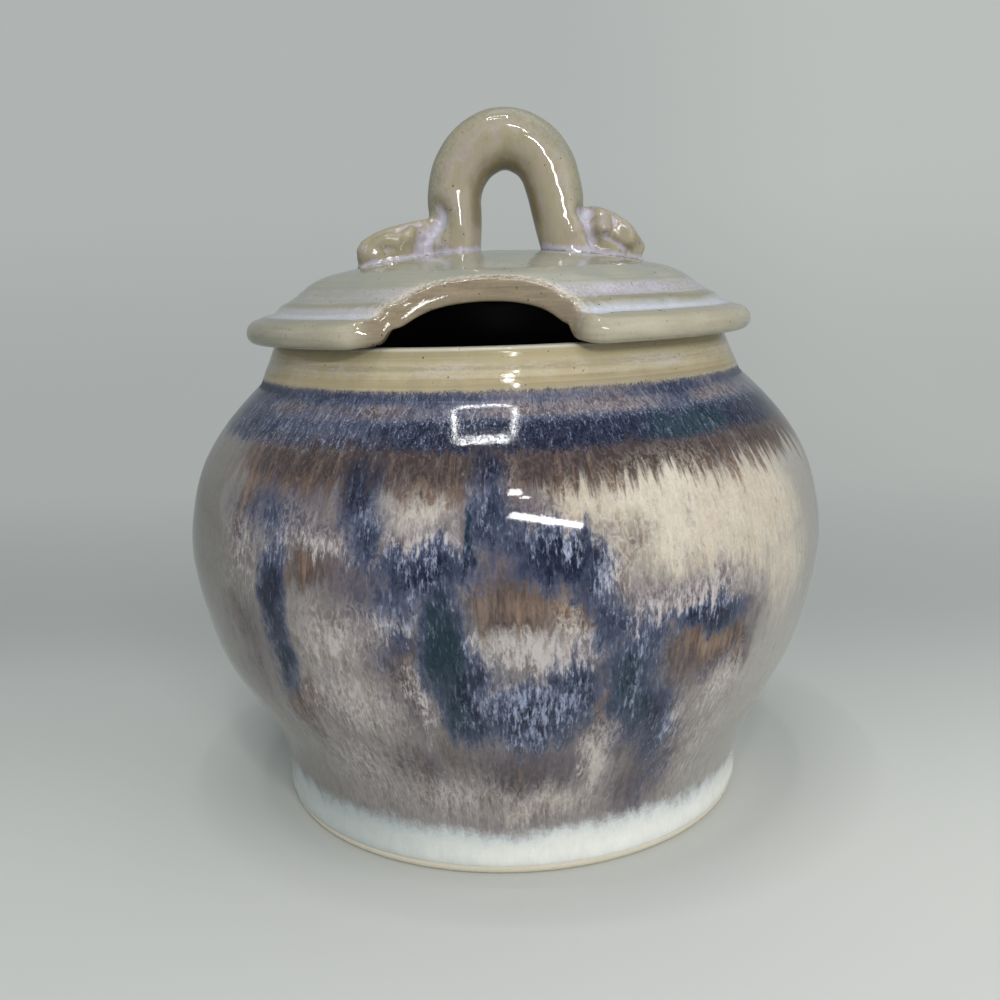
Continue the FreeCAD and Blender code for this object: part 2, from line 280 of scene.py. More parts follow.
class Shade:
    """A socket in a material's nodes, on which arithmetic adds Math nodes."""

    def __init__(self, tree, socket):
        self.tree = tree
        self.socket = socket

    def node(self, kind, settings=None, values=None, output=0):
        """Adds a node: its type, its settings, and the values or links of its sockets."""
        added = self.tree.nodes.new(kind)
        for name, setting in (settings or {}).items():
            setattr(added, name, setting)
        for key, value in (values or {}).items():
            if isinstance(value, Shade):
                self.tree.links.new(value.socket, added.inputs[key])
            elif added.inputs[key].type == "RGBA":
                added.inputs[key].default_value = (*value, 1.0)
            else:
                added.inputs[key].default_value = value
        return Shade(self.tree, added.outputs[output])

    def maths(self, operation, *others, clamp=False):
        """A Math node on this value and up to two more."""
        values = {0: self, **{i + 1: other for i, other in enumerate(others)}}
        settings = {"operation": operation, "use_clamp": clamp}
        return self.node("ShaderNodeMath", settings, values)

    def turned(self, operation, other):
        """The same with the other value first."""
        return self.node("ShaderNodeMath", {"operation": operation}, {0: other, 1: self})

    def __add__(self, other):
        return self.maths("ADD", other)

    __radd__ = __add__

    def __sub__(self, other):
        return self.maths("SUBTRACT", other)

    def __rsub__(self, other):
        return self.turned("SUBTRACT", other)

    def __mul__(self, other):
        return self.maths("MULTIPLY", other)

    __rmul__ = __mul__

    def __truediv__(self, other):
        return self.maths("DIVIDE", other)

    def capped(self):
        """Held between 0 and 1."""
        return self.maths("ADD", 0.0, clamp=True)

    def most(self, other):
        return self.maths("MAXIMUM", other)

    def rise(self, low, high):
        """0 at low, 1 at high, smooth between them."""
        settings = {"interpolation_type": "SMOOTHSTEP"}
        values = {"Value": self, "From Min": low, "From Max": high}
        return self.node("ShaderNodeMapRange", settings, values)

    def band(self, low, high, soft):
        """1 between low and high, fading over soft outside them."""
        return self.rise(low - soft, low + soft) * self.rise(high + soft, high - soft)

    def mixed(self, other, share, way="MIX"):
        """This colour with a share of another."""
        settings = {"data_type": "RGBA", "blend_type": way}
        return self.node("ShaderNodeMix", settings, {0: share, 6: self, 7: other}, output=2)

    def tinted(self, other, share):
        """This colour multiplied by a share of another."""
        return self.mixed(other, share, "MULTIPLY")

    def part(self, number):
        """One of a place's three coordinates: across, back or up."""
        return self.node("ShaderNodeSeparateXYZ", values={0: self}, output=number)

    def vector(self, operation, other=None, output=0):
        """A Vector Math node on this place and perhaps another."""
        values = {0: self} if other is None else {0: self, 1: other}
        return self.node("ShaderNodeVectorMath", {"operation": operation}, values, output)

    def noise(self, scale, detail=2.0, roughness=0.5, distortion=0.0, output=0):
        """Noise from 0 to 1 over this place, stretched by scale = cycles a millimetre. Output 1
        holds three different noises as a colour."""
        place = self.vector("MULTIPLY", scale)
        values = {
            "Vector": place, "Scale": 1.0, "Detail": detail, "Roughness": roughness,
            "Distortion": distortion,
        }
        return place.node("ShaderNodeTexNoise", {"noise_dimensions": "3D"}, values, output)


def new_material(name):
    """A material with only its output and shader, with the place on the piece in millimetres."""
    material = bpy.data.materials.new(name)
    material.use_nodes = True
    tree = material.node_tree
    metres = Shade(tree, None).node("ShaderNodeTexCoord", output=3)
    values = {0: metres, "Scale": 1 / MM}
    place = metres.node("ShaderNodeVectorMath", {"operation": "SCALE"}, values)
    return material, place, tree.nodes["Principled BSDF"]


def radius_of(place):
    """How far a place is from the pot's axis."""
    flat = place.vector("MULTIPLY", (1.0, 1.0, 0.0))
    return flat.vector("LENGTH", output=1)


def facing_of(place):
    """The direction away from the pot's axis, level, one long."""
    return place.vector("MULTIPLY", (1.0, 1.0, 0.0)).vector("NORMALIZE")


def attribute(shade, name):
    """A number stored on the piece's points."""
    return shade.node("ShaderNodeAttribute", {"attribute_name": name}, output=2)


def blend(place, share, one, other):
    """Two plain colours mixed by a share."""
    values = {0: share, 6: one, 7: other}
    return place.node("ShaderNodeMix", {"data_type": "RGBA"}, values, output=2)


def glazed(shader, colour, roughness, relief, depth, gloss):
    """Gives a shader its glaze: colour, roughness, a relief that is some millimetres deep, and
    gloss."""
    values = {"Height": relief, "Distance": depth * MM, "Strength": 1.0}
    normal = relief.node("ShaderNodeBump", values=values)
    for name, shade in (("Base Color", colour), ("Roughness", roughness), ("Normal", normal)):
        shade.tree.links.new(shade.socket, shader.inputs[name])
    shader.inputs["IOR"].default_value = GLAZE_IOR
    shader.inputs["Specular IOR Level"].default_value = gloss


# The pot's glaze is drawn on an upright cylinder of this radius, and the belly is as wide as
# WIDEST, both in millimetres
DRAWN_ON = 60.7
WIDEST = 60.65
# How many degrees the back's pours are turned from the front's mirror image
BACK_TURN = 14.0

# Each pour of glaze on the belly: degrees to the right of the front, height, half width and half
# height in millimetres, and strength
NAVY_POURS = (
    (-22, 69, 3.8, 6.5, 0.8), (-20.5, 63, 3.9, 4.5, 0.75), (-3, 70, 3.4, 5.0, 0.85),
    (-2, 65, 3.8, 5.0, 0.8), (3, 61.5, 5.5, 3.6, 0.7), (8, 59.4, 7.5, 3.8, 1.15),
    (12, 55.5, 4.0, 4.0, 0.85), (-5.4, 62, 0.9, 6.5, 1.25), (-38.5, 51, 3.0, 9.5, 1.1),
    (-39, 42, 3.2, 6.0, 0.85), (-11.5, 57, 7.5, 3.4, 0.95), (-17, 53, 6.0, 4.0, 0.6),
    (-9.5, 47, 4.0, 12, 1.05), (-6.5, 37, 4.8, 8.5, 1.0), (3, 33, 9.5, 6.5, 0.85),
    (9.5, 38, 4.2, 6.0, 0.85), (19, 38.5, 5.0, 10, 0.95), (22.5, 32, 5.0, 7.0, 0.85),
    (25.5, 26, 5.0, 6.0, 0.65), (28, 18, 4.5, 6.0, 0.35), (31, 47.8, 8.0, 2.6, 1.05),
    (14.5, 50, 3.4, 7.0, 0.7), (21, 45, 5.0, 4.0, 0.65), (-17, 47, 3.4, 5.0, 0.5),
    (-40, 64, 7.0, 4.0, 0.5), (-45, 65, 1.6, 7.0, 0.4), (-88, 52, 6.0, 16, 0.7),
    (-96, 66, 12, 5, 0.5), (92, 58, 5.0, 12, 0.6),
)
TEAL_POURS = (
    (-9.5, 45, 3.6, 11, 1.2), (-8.5, 34, 4.4, 7.0, 0.95), (-10, 52, 5.0, 4.0, 0.6),
    (19, 37, 4.8, 10, 1.15), (36, 76, 12, 4.0, 1.0), (-38.5, 45, 3.2, 7.0, 0.6),
    (-44, 81, 14, 2.4, 0.7), (88, 54, 5.0, 8.0, 0.6), (-5.4, 64, 1.0, 6.5, 0.8),
)
MAUVE_POURS = (
    (-37, 66, 12, 6.0, 1.1), (-31, 63, 9.0, 4.0, 0.8), (-22, 56, 8.0, 7.0, 1.0),
    (-25, 52, 5.0, 8.0, 0.5), (-17, 46, 5.5, 8.0, 1.0), (-15, 35, 4.5, 10, 0.7),
    (0, 62, 9.0, 8.0, 1.2), (12, 54, 6.0, 9.0, 1.1), (16, 44, 6.0, 9.0, 1.0),
    (3, 23, 11.5, 6.5, 1.0), (26, 19, 8.0, 10, 1.1), (21, 31, 9.0, 9.0, 0.9),
    (27, 51, 14, 4.6, 0.85), (40, 47, 6.0, 6.0, 0.7), (33, 41, 10, 5.5, 1.1),
    (-46, 64, 5.0, 9.0, 0.9), (-46, 42, 7.0, 12, 0.5), (-12, 57, 9.0, 6.0, 0.9),
    (-30, 30, 7.0, 8.0, 0.3), (6, 33, 11, 9.0, 0.9), (-38, 31, 3.5, 8.0, 0.8),
    (-15, 24, 9.0, 6.0, 0.55), (-90, 58, 16, 16, 0.6), (90, 56, 9.0, 14, 0.6),
)
PALE_POURS = (
    (-37, 61.5, 8.0, 4.0, 0.6), (-29, 61, 7.0, 2.8, 0.9), (-20, 65.5, 3.2, 3.6, 0.6),
    (-12, 60.8, 7.0, 3.4, 0.85), (-12, 65.5, 5.5, 3.0, 0.6), (-12, 55.5, 7.0, 3.0, 0.4),
    (8, 62.8, 6.5, 3.0, 0.8), (15.5, 57, 3.6, 5.5, 0.95), (21, 50, 6.0, 3.8, 1.0),
    (30, 52, 10, 3.6, 1.0), (4, 44.4, 9.5, 3.2, 1.35), (10, 47.5, 3.6, 2.6, 0.9),
    (3, 36.2, 9.0, 4.6, 1.0), (3, 30.4, 7.0, 3.6, 0.8), (-18, 50, 5.5, 4.0, 0.95),
    (-27, 46, 7.0, 4.5, 0.95), (28, 28, 4.0, 5.5, 0.9), (-26, 35, 10, 7.0, 0.8),
    (5, 15, 13, 3.6, 0.7), (-12, 16, 14, 5.0, 0.7), (-30, 22, 12, 8.0, 0.55),
    (38, 22, 10, 12, 0.5), (37, 33, 6.0, 6.0, 0.7), (-5, 46.8, 2.2, 0.8, 1.2),
    (20, 45, 4.6, 4.0, 0.55), (-2, 67.5, 4.6, 4.6, 0.45), (-46, 57, 6.0, 6.0, 0.6),
    (-14, 36, 2.0, 7.0, 1.0), (14.5, 24, 2.6, 8.0, 1.1), (-88, 60, 12, 4.0, 0.6),
    (92, 66, 10, 4.0, 0.6), (19.5, 37, 4.0, 8.0, 0.4), (3, 42.4, 8.0, 2.0, 0.6),
)
BROWN_POURS = (
    (-46.5, 67, 2.6, 8.0, 1.2), (-42.5, 69, 1.4, 5.0, 0.6), (-33, 70, 8.5, 3.0, 1.15),
    (-13, 70.2, 6.0, 3.2, 1.1), (-31.5, 56.2, 4.6, 3.8, 1.05), (-16, 60, 3.0, 3.0, 0.6),
    (-48, 47, 4.6, 9.0, 0.45), (1, 51.6, 6.8, 5.2, 1.25), (9, 52.6, 4.6, 4.8, 1.1),
    (32, 42.6, 9.0, 4.2, 1.15), (39, 39, 2.6, 6.0, 0.8), (27, 38, 3.0, 4.0, 0.6),
    (-15.5, 42, 3.0, 7.0, 0.7), (14.5, 34, 2.4, 6.0, 0.9), (1, 20.5, 9.0, 6.0, 0.5),
    (-38, 31, 3.0, 7.0, 0.7), (-34, 35, 2.0, 4.0, 0.7), (19, 60, 3.0, 5.0, 0.55),
    (17, 55, 2.0, 4.0, 0.5), (3, 64, 5.0, 3.6, 0.5), (-10, 25, 4.0, 6.0, 0.5),
    (-18, 22, 4.0, 6.0, 0.5), (24, 21, 6.0, 8.0, 0.4), (-86, 44, 6.0, 8.0, 0.7),
    (96, 44, 7.0, 9.0, 0.7),
)
CREAM_POURS = (
    (13, 66.5, 7.0, 3.8, 0.85), (27, 64, 15, 7.4, 1.25), (41, 62, 15, 8.0, 1.2),
    (50, 52, 10, 8.0, 0.65), (14.5, 24, 2.0, 8.0, 0.6), (-12, 66.5, 5.0, 3.4, 0.5),
    (-27, 44.5, 6.0, 4.0, 0.4), (3, 47, 6.5, 2.2, 0.45), (6, 14, 12, 2.6, 0.4),
    (8.5, 50, 1.6, 3.8, 0.9), (36, 34, 3.2, 4.0, 0.4), (-24, 36, 6.0, 5.0, 0.3),
)


def on_belly(place, facing):
    """Where a place is on an upright cylinder round the belly, so that patterns run straight
    down at an even scale. Over the sloping shoulder the height counts for more."""
    round_it = facing.vector("MULTIPLY", (DRAWN_ON, DRAWN_ON, 0.0))
    height = place.part(2)
    slope = (WIDEST - radius_of(place)) * height.rise(50.0, 56.0) * 0.8
    return round_it.vector("ADD", place.node("ShaderNodeCombineXYZ", values={"Z": height + slope}))


def to_the_right(facing, degrees):
    """How squarely a place on the pot faces so many degrees to the right of its front."""
    turn = math.radians(FRONT_TURN + degrees)
    ahead = (math.sin(turn), -math.cos(turn), 0.0)
    return facing.vector("DOT_PRODUCT", ahead, output=1)


def unrolled(facing):
    """How far round the belly a place is from its front, in millimetres. The back carries the
    same pours as the front, mirrored and turned a little."""
    ahead = to_the_right(facing, 0.0)
    aside = to_the_right(facing, 90.0)
    angle = aside.maths("ARCTAN2", ahead.maths("ABSOLUTE"))
    return (angle + ahead.maths("LESS_THAN", 0.0) * math.radians(BACK_TURN)) * DRAWN_ON


def poured(spread, pours):
    """How thick one glaze lies: 1.5 in the middle of a full pour, 0.5 at its edge."""
    thickest = None
    for degrees, height, half_width, half_height, strength in pours:
        share = (1 / half_width, 1 / half_height, 0.0)
        middle = (math.radians(degrees) * DRAWN_ON, height, 0.0)
        away = spread.vector("SUBTRACT", middle).vector("MULTIPLY", share)
        level = away.vector("LENGTH", output=1).maths("MULTIPLY_ADD", -strength, 1.5 * strength)
        thickest = level if thickest is None else thickest.most(level)
    return thickest.most(0.0)


def foot_colour(edge, milky, beside, tints):
    """The foot's white glaze, with painted shade at the left, and bluish towards its fuzzy upper
    edge.
    """
    white = blend(edge, milky, tints.foot * 0.84, tints.foot)
    # Painted shade: the white is darker towards the left side
    white = white.tinted((0.64, 0.69, 0.71), beside.rise(0.10, -0.80))
    return white.tinted((0.76, 0.80, 0.86), edge.rise(5.4, 8.6))


def collar_colour(belly, height, noises, tints):
    """The collar's tan glaze, with its throwing lines, a pale haze, a pale rim and specks."""
    cloud, mottle, runs, speckle = noises
    lines = belly.noise((0.012, 0.012, 0.9), 2.0, 0.6)
    thrown = (lines.rise(0.30, 0.62) + mottle * 1.1 + runs * 0.5).capped()
    collar = blend(belly, thrown, tints.collar * 0.76, tints.collar)
    level = height + mottle * 0.7
    collar = collar.mixed(tints.olive, level.rise(86.3, 87.8) * 0.32)
    misted = belly.noise((0.28, 0.28, 1.5), 3.0, 0.7) - 0.5
    streaky = (misted * 3.4 + speckle * 0.7 + cloud * 2.0 + 0.22).capped()
    collar = collar.mixed(tints.pearl, level.band(84.4, 86.8, 0.8) * streaky * 0.72)
    collar = collar.mixed(tints.foot, height.rise(88.3, 88.85) * 0.35)
    collar = collar.tinted((0.80, 0.75, 0.68), level.band(83.1, 84.3, 0.5) * 0.55)
    specks = belly.noise((1.5, 1.5, 1.5), 1.0).rise(0.74, 0.78)
    return collar.mixed(tints.brown * 0.25, specks * 0.8)


def pot_glaze(tints):
    """Runny glazes that lie over each other, from the bare foot up to the collar."""
    material, place, shader = new_material("pot_glaze")
    height = place.part(2)
    facing = facing_of(place)
    belly = on_belly(place, facing)

    # Noises at the glaze's scales: broad clouds, runs and finer strands down the wall, hair-like
    # crystals, short fibres and a dense speckle
    cloud = belly.noise((0.055, 0.055, 0.045), 2.0) - 0.5
    mottle = belly.noise((0.30, 0.30, 0.22), 3.0, 0.6) - 0.5
    runs = belly.noise((0.55, 0.55, 0.05), 4.0, 0.6) - 0.5
    strands = belly.noise((1.5, 1.5, 0.07), 3.0, 0.6) - 0.5
    clumps = belly.noise((0.62, 0.62, 0.24), 3.0, 0.65, 0.3) - 0.5
    hair = (belly.noise((1.35, 1.35, 0.60), 3.0, 0.72, 0.5) - 0.5) * 2.2
    fibre = (belly.noise((1.9, 1.9, 0.42), 2.0, 0.65, 0.25) - 0.5) * 2.4
    speckle = (belly.noise((2.5, 2.5, 2.0), 2.0, 0.7, 0.2) - 0.5) * 2.6
    veins = belly.noise((0.70, 0.70, 0.34), 3.0, 0.55, 0.7)
    veins = 1.0 - (veins * 2.0 - 1.0).maths("ABSOLUTE") * 5.0

    # Every edge of a pour runs down in fringes and wanders a little
    fall = runs * 8.0 + hair * 1.3 + fibre * 1.6
    from_front = unrolled(facing)
    values = {"X": from_front + cloud * 4.0 + hair * 0.7, "Y": height + fall, "Z": 0.0}
    drift = belly.noise((0.12, 0.12, 0.09), 3.0, 0.6, output=1)
    drift = drift.vector("SUBTRACT", (0.5, 0.5, 0.5)).vector("MULTIPLY", (9.0, 9.0, 0.0))
    spread = place.node("ShaderNodeCombineXYZ", values=values).vector("ADD", drift)
    navy = poured(spread, NAVY_POURS)
    teal = poured(spread, TEAL_POURS)
    pale = poured(spread, PALE_POURS)
    mauve = poured(spread, MAUVE_POURS)
    brown = poured(spread, BROWN_POURS)
    cream = poured(spread, CREAM_POURS)

    # The bands round the shoulder
    right = to_the_right(facing, 32.0).rise(0.35, 0.9)
    upper = height.rise(71.0, 75.5)
    fuzzy = height + hair * 0.4 + runs * 1.2 + speckle * 0.9
    shoulder = height + runs * 2.8 + speckle * 1.3
    band = shoulder.rise(72.9, 75.5) * fuzzy.rise(79.6, 77.2)
    speckled = fuzzy.band(77.6, 82.1, 0.7)
    beside = from_front * (1 / DRAWN_ON)
    navy = navy.most(band * (0.95 + 0.45 * right + cloud * 1.2))
    fringe = fuzzy.rise(79.9, 81.4) * 0.45
    navy = navy.most(speckled * (0.62 - 0.34 * right + fringe + cloud * 1.6))
    mauve = mauve.most(speckled * 1.3)
    rusty = (fuzzy + cloud * 3.0).band(78.2, 80.6, 0.9) * (1.15 - 0.75 * right)
    brown = brown.most(rusty * (1.0 + mottle * 1.6))
    brown = brown.most(fuzzy.band(81.7, 82.5, 0.35) * 0.9)

    # Brown runs hang from the band over the pale glaze, darkest at their top
    hang = height + strands * 4.0 + runs * 13.0 + fibre * 0.9 - beside.rise(0.05, 0.45) * 1.2
    drips = hang.rise(65.4, 71.9) * height.rise(76.8, 75.2) * beside.rise(-1.05, -0.75)
    brown = brown.most(drips * 1.5)
    pale = pale.most(speckled * (0.50 - 0.06 * right))
    pale = pale.most(band * (0.56 - 0.34 * right))

    # Pale glaze: stone at the sides, dimmed at the left as painted shade, taupe and cream at the
    # front
    pearly = (mottle * 1.3 + fibre * 0.28 + runs * 0.8 + 0.42).capped()
    base = blend(place, pearly, tints.taupe, tints.pearl * 0.78)
    base = base.mixed(tints.stone, beside.rise(0.5, 0.95) * 0.85)
    # Painted shade: the stone at the left side at about half its brightness
    base = base.mixed(tints.stone * 0.52, beside.rise(-0.45, -0.95) * 0.85)
    creamy = (cream + hair * 0.25 + runs * 0.9).rise(0.0, 1.1)
    full = runs * 0.9 + strands * 1.1 + hair * 0.4 + clumps * 1.2 + speckle * 0.3 + 0.60
    cream_tint = blend(place, full.capped(), tints.cream * 0.66, tints.cream)
    warm = (cloud * 3.0 + clumps * 2.0 + mottle).rise(0.0, 0.9)
    cream_tint = cream_tint.tinted((0.88, 0.78, 0.70), warm * 0.7)
    base = base.mixed(cream_tint, creamy)

    # Thin cobalt over iron, in broad soft clouds
    misty = (mauve + mottle * 0.9 + runs * 0.9 + hair * 0.3).rise(0.0, 1.1) * 0.92
    base = base.mixed(tints.mauve, misty)

    # Iron glaze in streaks
    thin = runs * 2.6 + strands * 1.2 + clumps * 0.4 + (brown - 1.0) * 0.55 + 0.28
    thin = (thin + drips * (0.85 - drips * 1.55)).capped()
    iron = blend(place, thin, tints.brown, tints.tan)
    rusted = brown + hair * 0.20 + runs * 1.2 + strands * 0.7 + mottle * 0.4
    base = base.mixed(iron, rusted.rise(0.1, 1.1) * 0.95)

    # Cobalt glaze, thin to thick
    cobalt = blend(place, teal.rise(0.3, 1.1), tints.navy, tints.teal)
    thick = navy + hair * 0.45 + runs * 0.7 + mottle * 0.4 + speckle * 0.18
    base = base.mixed(tints.slate, thick.rise(0.0, 0.7) * (0.92 - 0.8 * drips))
    base = base.mixed(cobalt, thick.rise(0.35, 1.25))
    blue = thick.rise(0.2, 0.9) * (1.0 - 0.4 * upper)
    base = base.tinted((0.5, 0.5, 0.55), (fibre * -1.5).rise(0.1, 0.9) * blue * 0.6)
    pale_fibres = (fibre * 1.3 - 0.22 + pale * 0.25).capped()
    base = base.mixed(tints.lilac, pale_fibres * blue * 0.45)

    # Crystals: pale flecks, thicker where the pale pours lie, and thin veins in the pale glaze
    crystal = hair * (0.75 - 0.45 * upper) + fibre * 0.5 + speckle * (0.12 + 0.55 * upper)
    flecks = (pale * 0.46 + crystal * 1.25 + runs * 0.5 * (1.0 - upper) - 0.20).rise(0.0, 0.80)
    flecks = flecks * (0.24 + pale * 0.80 + navy * 0.16).capped() * (1.0 - 0.12 * upper)
    over_blue = navy.rise(0.2, 0.8)
    bright = blend(place, over_blue, tints.pearl, tints.lilac)
    base = base.mixed(bright, flecks)
    veined = veins.capped() * (pale * 1.1 + 0.15).capped() * (hair * 0.8 + 0.5).capped()
    base = base.mixed(bright, veined * (0.85 - 0.55 * over_blue))
    gaps = (crystal * -1.6).rise(0.3, 1.1)
    base = base.tinted((0.45, 0.45, 0.5), gaps * (0.35 + 0.45 * upper))
    # Painted glints: a brighter cream along the veins of the cream glaze
    painted_glints = veins.capped() * creamy * (speckle + 0.5).capped()
    base = base.mixed(tints.cream * 1.1, painted_glints * 0.55)
    front = beside.rise(0.95, 0.6) * beside.rise(-1.05, -0.8)
    hollows = (clumps * -2.6 + hair * -0.3).rise(0.05, 0.9) * front
    base = base.tinted((0.56, 0.53, 0.55), hollows * (0.62 - 0.35 * creamy))

    gritty = place.noise((1.2, 1.2, 1.2), 3.0, 0.7)
    foot_edge = height + gritty * 1.8 - 0.9 + mottle * 5.5 + cloud * 4.0 + speckle * 0.7
    milky = (mottle * 1.6 + hair * 0.35 + 0.55).capped()
    base = base.mixed(foot_colour(foot_edge, milky, beside, tints), foot_edge.rise(10.3, 7.2))
    collar = collar_colour(belly, height, (cloud, mottle, runs, speckle), tints)
    base = base.mixed(collar, (height + speckle * 0.35 + runs * 0.8).rise(82.2, 82.9))

    # The liner inside, darkened as painted shade, and bare clay underneath
    inside = attribute(place, "inside")
    # Painted shade: the celadon liner inside at under half its brightness
    base = base.mixed(tints.celadon * 0.45, inside)
    bare = height.rise(1.75, 1.55).most(attribute(place, "underside"))
    clay = blend(place, gritty, tints.clay * 0.86, tints.clay)
    base = base.mixed(clay, bare)

    # Pits dull the shoulder, and the crease under the collar mirrors no lamp
    pits = speckle.rise(0.0, 0.35) * height.rise(74.0, 75.5)
    crease = height.band(80.9, 82.3, 0.25)
    rough = (0.05 + 0.05 * mottle + 0.03 * flecks) * (1.0 - bare) + 0.6 * bare
    rough = rough + 0.3 * inside + 0.15 * pits + 0.35 * crease
    relief = hair * 0.02 + mottle * 0.12 + gritty * bare * 1.5
    glazed(shader, base, rough, relief, 0.10, POT_GLOSS)
    return material


def lid_glaze(tints):
    """Celadon in rings, pooled pale in the grooves, tan on the rim and on the notch's face."""
    material, place, shader = new_material("lid_glaze")
    radius = radius_of(place)
    facing = facing_of(place)
    cut = attribute(place, "cut")
    under = attribute(place, "under")

    mottle = place.noise((0.13, 0.13, 0.13), 3.0, 0.6) - 0.5
    grain = place.noise((1.1, 1.1, 1.1), 3.0, 0.7) - 0.5
    round_it = facing.vector("MULTIPLY", (44.0, 44.0, 0.0))
    along = round_it.noise((0.11, 0.11, 1.0), 3.0, 0.6) - 0.5
    values = {"X": radius, "Y": along * 2.0, "Z": 0.0}
    thin_rings = place.node("ShaderNodeCombineXYZ", values=values)
    rings = thin_rings.noise((0.55, 1.0, 1.0), 3.0, 0.65) - 0.5
    fine_rings = thin_rings.noise((1.5, 1.0, 1.0), 2.0, 0.6) - 0.5

    # Celadon, greyer and greener in rings and clouds
    fine = place.noise((1.7, 1.7, 1.7), 2.0, 0.65) - 0.5
    base = blend(place, (mottle * 2.4 + rings * 1.4 + 0.5).capped(), tints.celadon, tints.straw)
    base = base.tinted((0.80, 0.80, 0.77), (rings * -2.4 + grain * 0.5).rise(0.1, 0.8) * 0.5)
    base = base.tinted((0.80, 0.80, 0.72), (fine_rings * -3.0 + mottle).rise(0.0, 0.9) * 0.55)
    hazy = (fine_rings * 2.2 + mottle * 1.6 + fine * 0.5 - 0.05).capped()
    base = base.mixed(tints.haze, hazy * 0.5)

    # Lilac glaze has run off the handle on to the lid round its foot
    from_foot = place.vector("MULTIPLY", (1 / 27.0, 1 / 7.5, 0.0))
    from_foot = from_foot.vector("SUBTRACT", (0.04, -0.45, 0.0)).vector("LENGTH", output=1)
    run_off = 1.0 - from_foot + along * 0.6 + grain * 0.5
    base = base.mixed(tints.haze, run_off.rise(-0.05, 0.45) * 0.55)

    # Glaze pools in the two grooves: flecked lilac above, smooth blue-white below, each with a
    # thin dark line at its edge
    wander = radius + along * 1.0 + grain * 0.5
    side = facing.vector("DOT_PRODUCT", (0.86, -0.50, 0.0), output=1)
    right = side.rise(-0.3, 0.75)
    broken = (along * 1.6 + fine * 2.6 + 0.72).capped()
    upper = wander.band(36.9, 39.7, 0.8) * (0.22 + 0.78 * right) * broken
    whole = (fine * 1.6 + along * 0.8 + 0.95).capped()
    lower = wander.band(41.8, 44.1, 0.9) * (0.66 + 0.34 * right) * whole
    base = base.mixed(tints.olive, wander.band(40.2, 41.2, 0.5) * (0.35 + 0.35 * right))
    base = base.mixed(tints.haze, wander.band(41.0, 41.6, 0.4) * (0.6 - 0.45 * right))
    base = base.mixed(tints.haze, (upper * 0.95).capped())
    base = base.mixed(tints.pool, (upper * (fine * 3.0 - 0.2)).capped() * 0.8)
    base = base.mixed(tints.pool, (lower * (1.0 + grain * 0.6)).capped())
    dark = wander.band(39.9, 40.15, 0.2) * right + wander.band(44.25, 44.5, 0.2)
    base = base.mixed(tints.olive * 0.5, (dark * broken).capped() * 0.6)

    # The rim: turned lines, olive where it bends over at the top, and painted shade at the left
    turned_lines = place.noise((0.10, 0.10, 1.5), 3.0, 0.65) - 0.5
    worn = (fine * 0.9 + mottle * 1.4 + turned_lines * 1.8 + 0.55).capped()
    rim = blend(place, worn, tints.rim * 0.78, tints.rim)
    rim = rim.mixed(tints.olive, (place.part(2) + turned_lines * 1.5).rise(92.0, 93.9) * 0.45)
    # Painted shade: the rim darker on the side away from the right front
    rim = rim.tinted((0.64, 0.67, 0.68), side.rise(0.35, -0.75))
    base = base.mixed(rim, (wander + mottle * 1.6).rise(44.1, 44.9) * 0.9)

    # The notch's cut face, streaked along the cut, with pale glaze and a painted highlight on its
    # crest
    streaks = place.noise((0.10, 0.10, 1.1), 3.0, 0.65, 0.6) - 0.5
    streaked = (streaks * 2.6 + grain * 0.7 + 0.5).capped()
    face = blend(place, streaked, tints.cut * 0.62, tints.cut)
    base = base.mixed(face, cut.rise(0.25, 0.8))
    # The crest: thin pale glaze and a painted highlight along the notch's top edge
    crest = attribute(place, "crest")
    crest_glaze_and_highlight = (crest * (fine * 4.0 + grain * 1.5 + 0.72)).capped()
    base = base.mixed(tints.cream, crest_glaze_and_highlight * 0.9)

    specks = place.noise((1.3, 1.3, 1.3), 1.0).rise(0.735, 0.770)
    base = base.mixed(tints.brown * 0.35, specks * 0.75)
    # Painted shade: the underside and the ring under it in celadon at under half its brightness
    base = base.mixed(tints.celadon * 0.4, under)
    relief = mottle * 0.6 + grain * (0.03 + 0.22 * cut) + fine * crest * 0.35
    glazed(shader, base, 0.055 + 0.05 * mottle + 0.3 * under, relief, 0.12, LID_GLOSS)
    return material


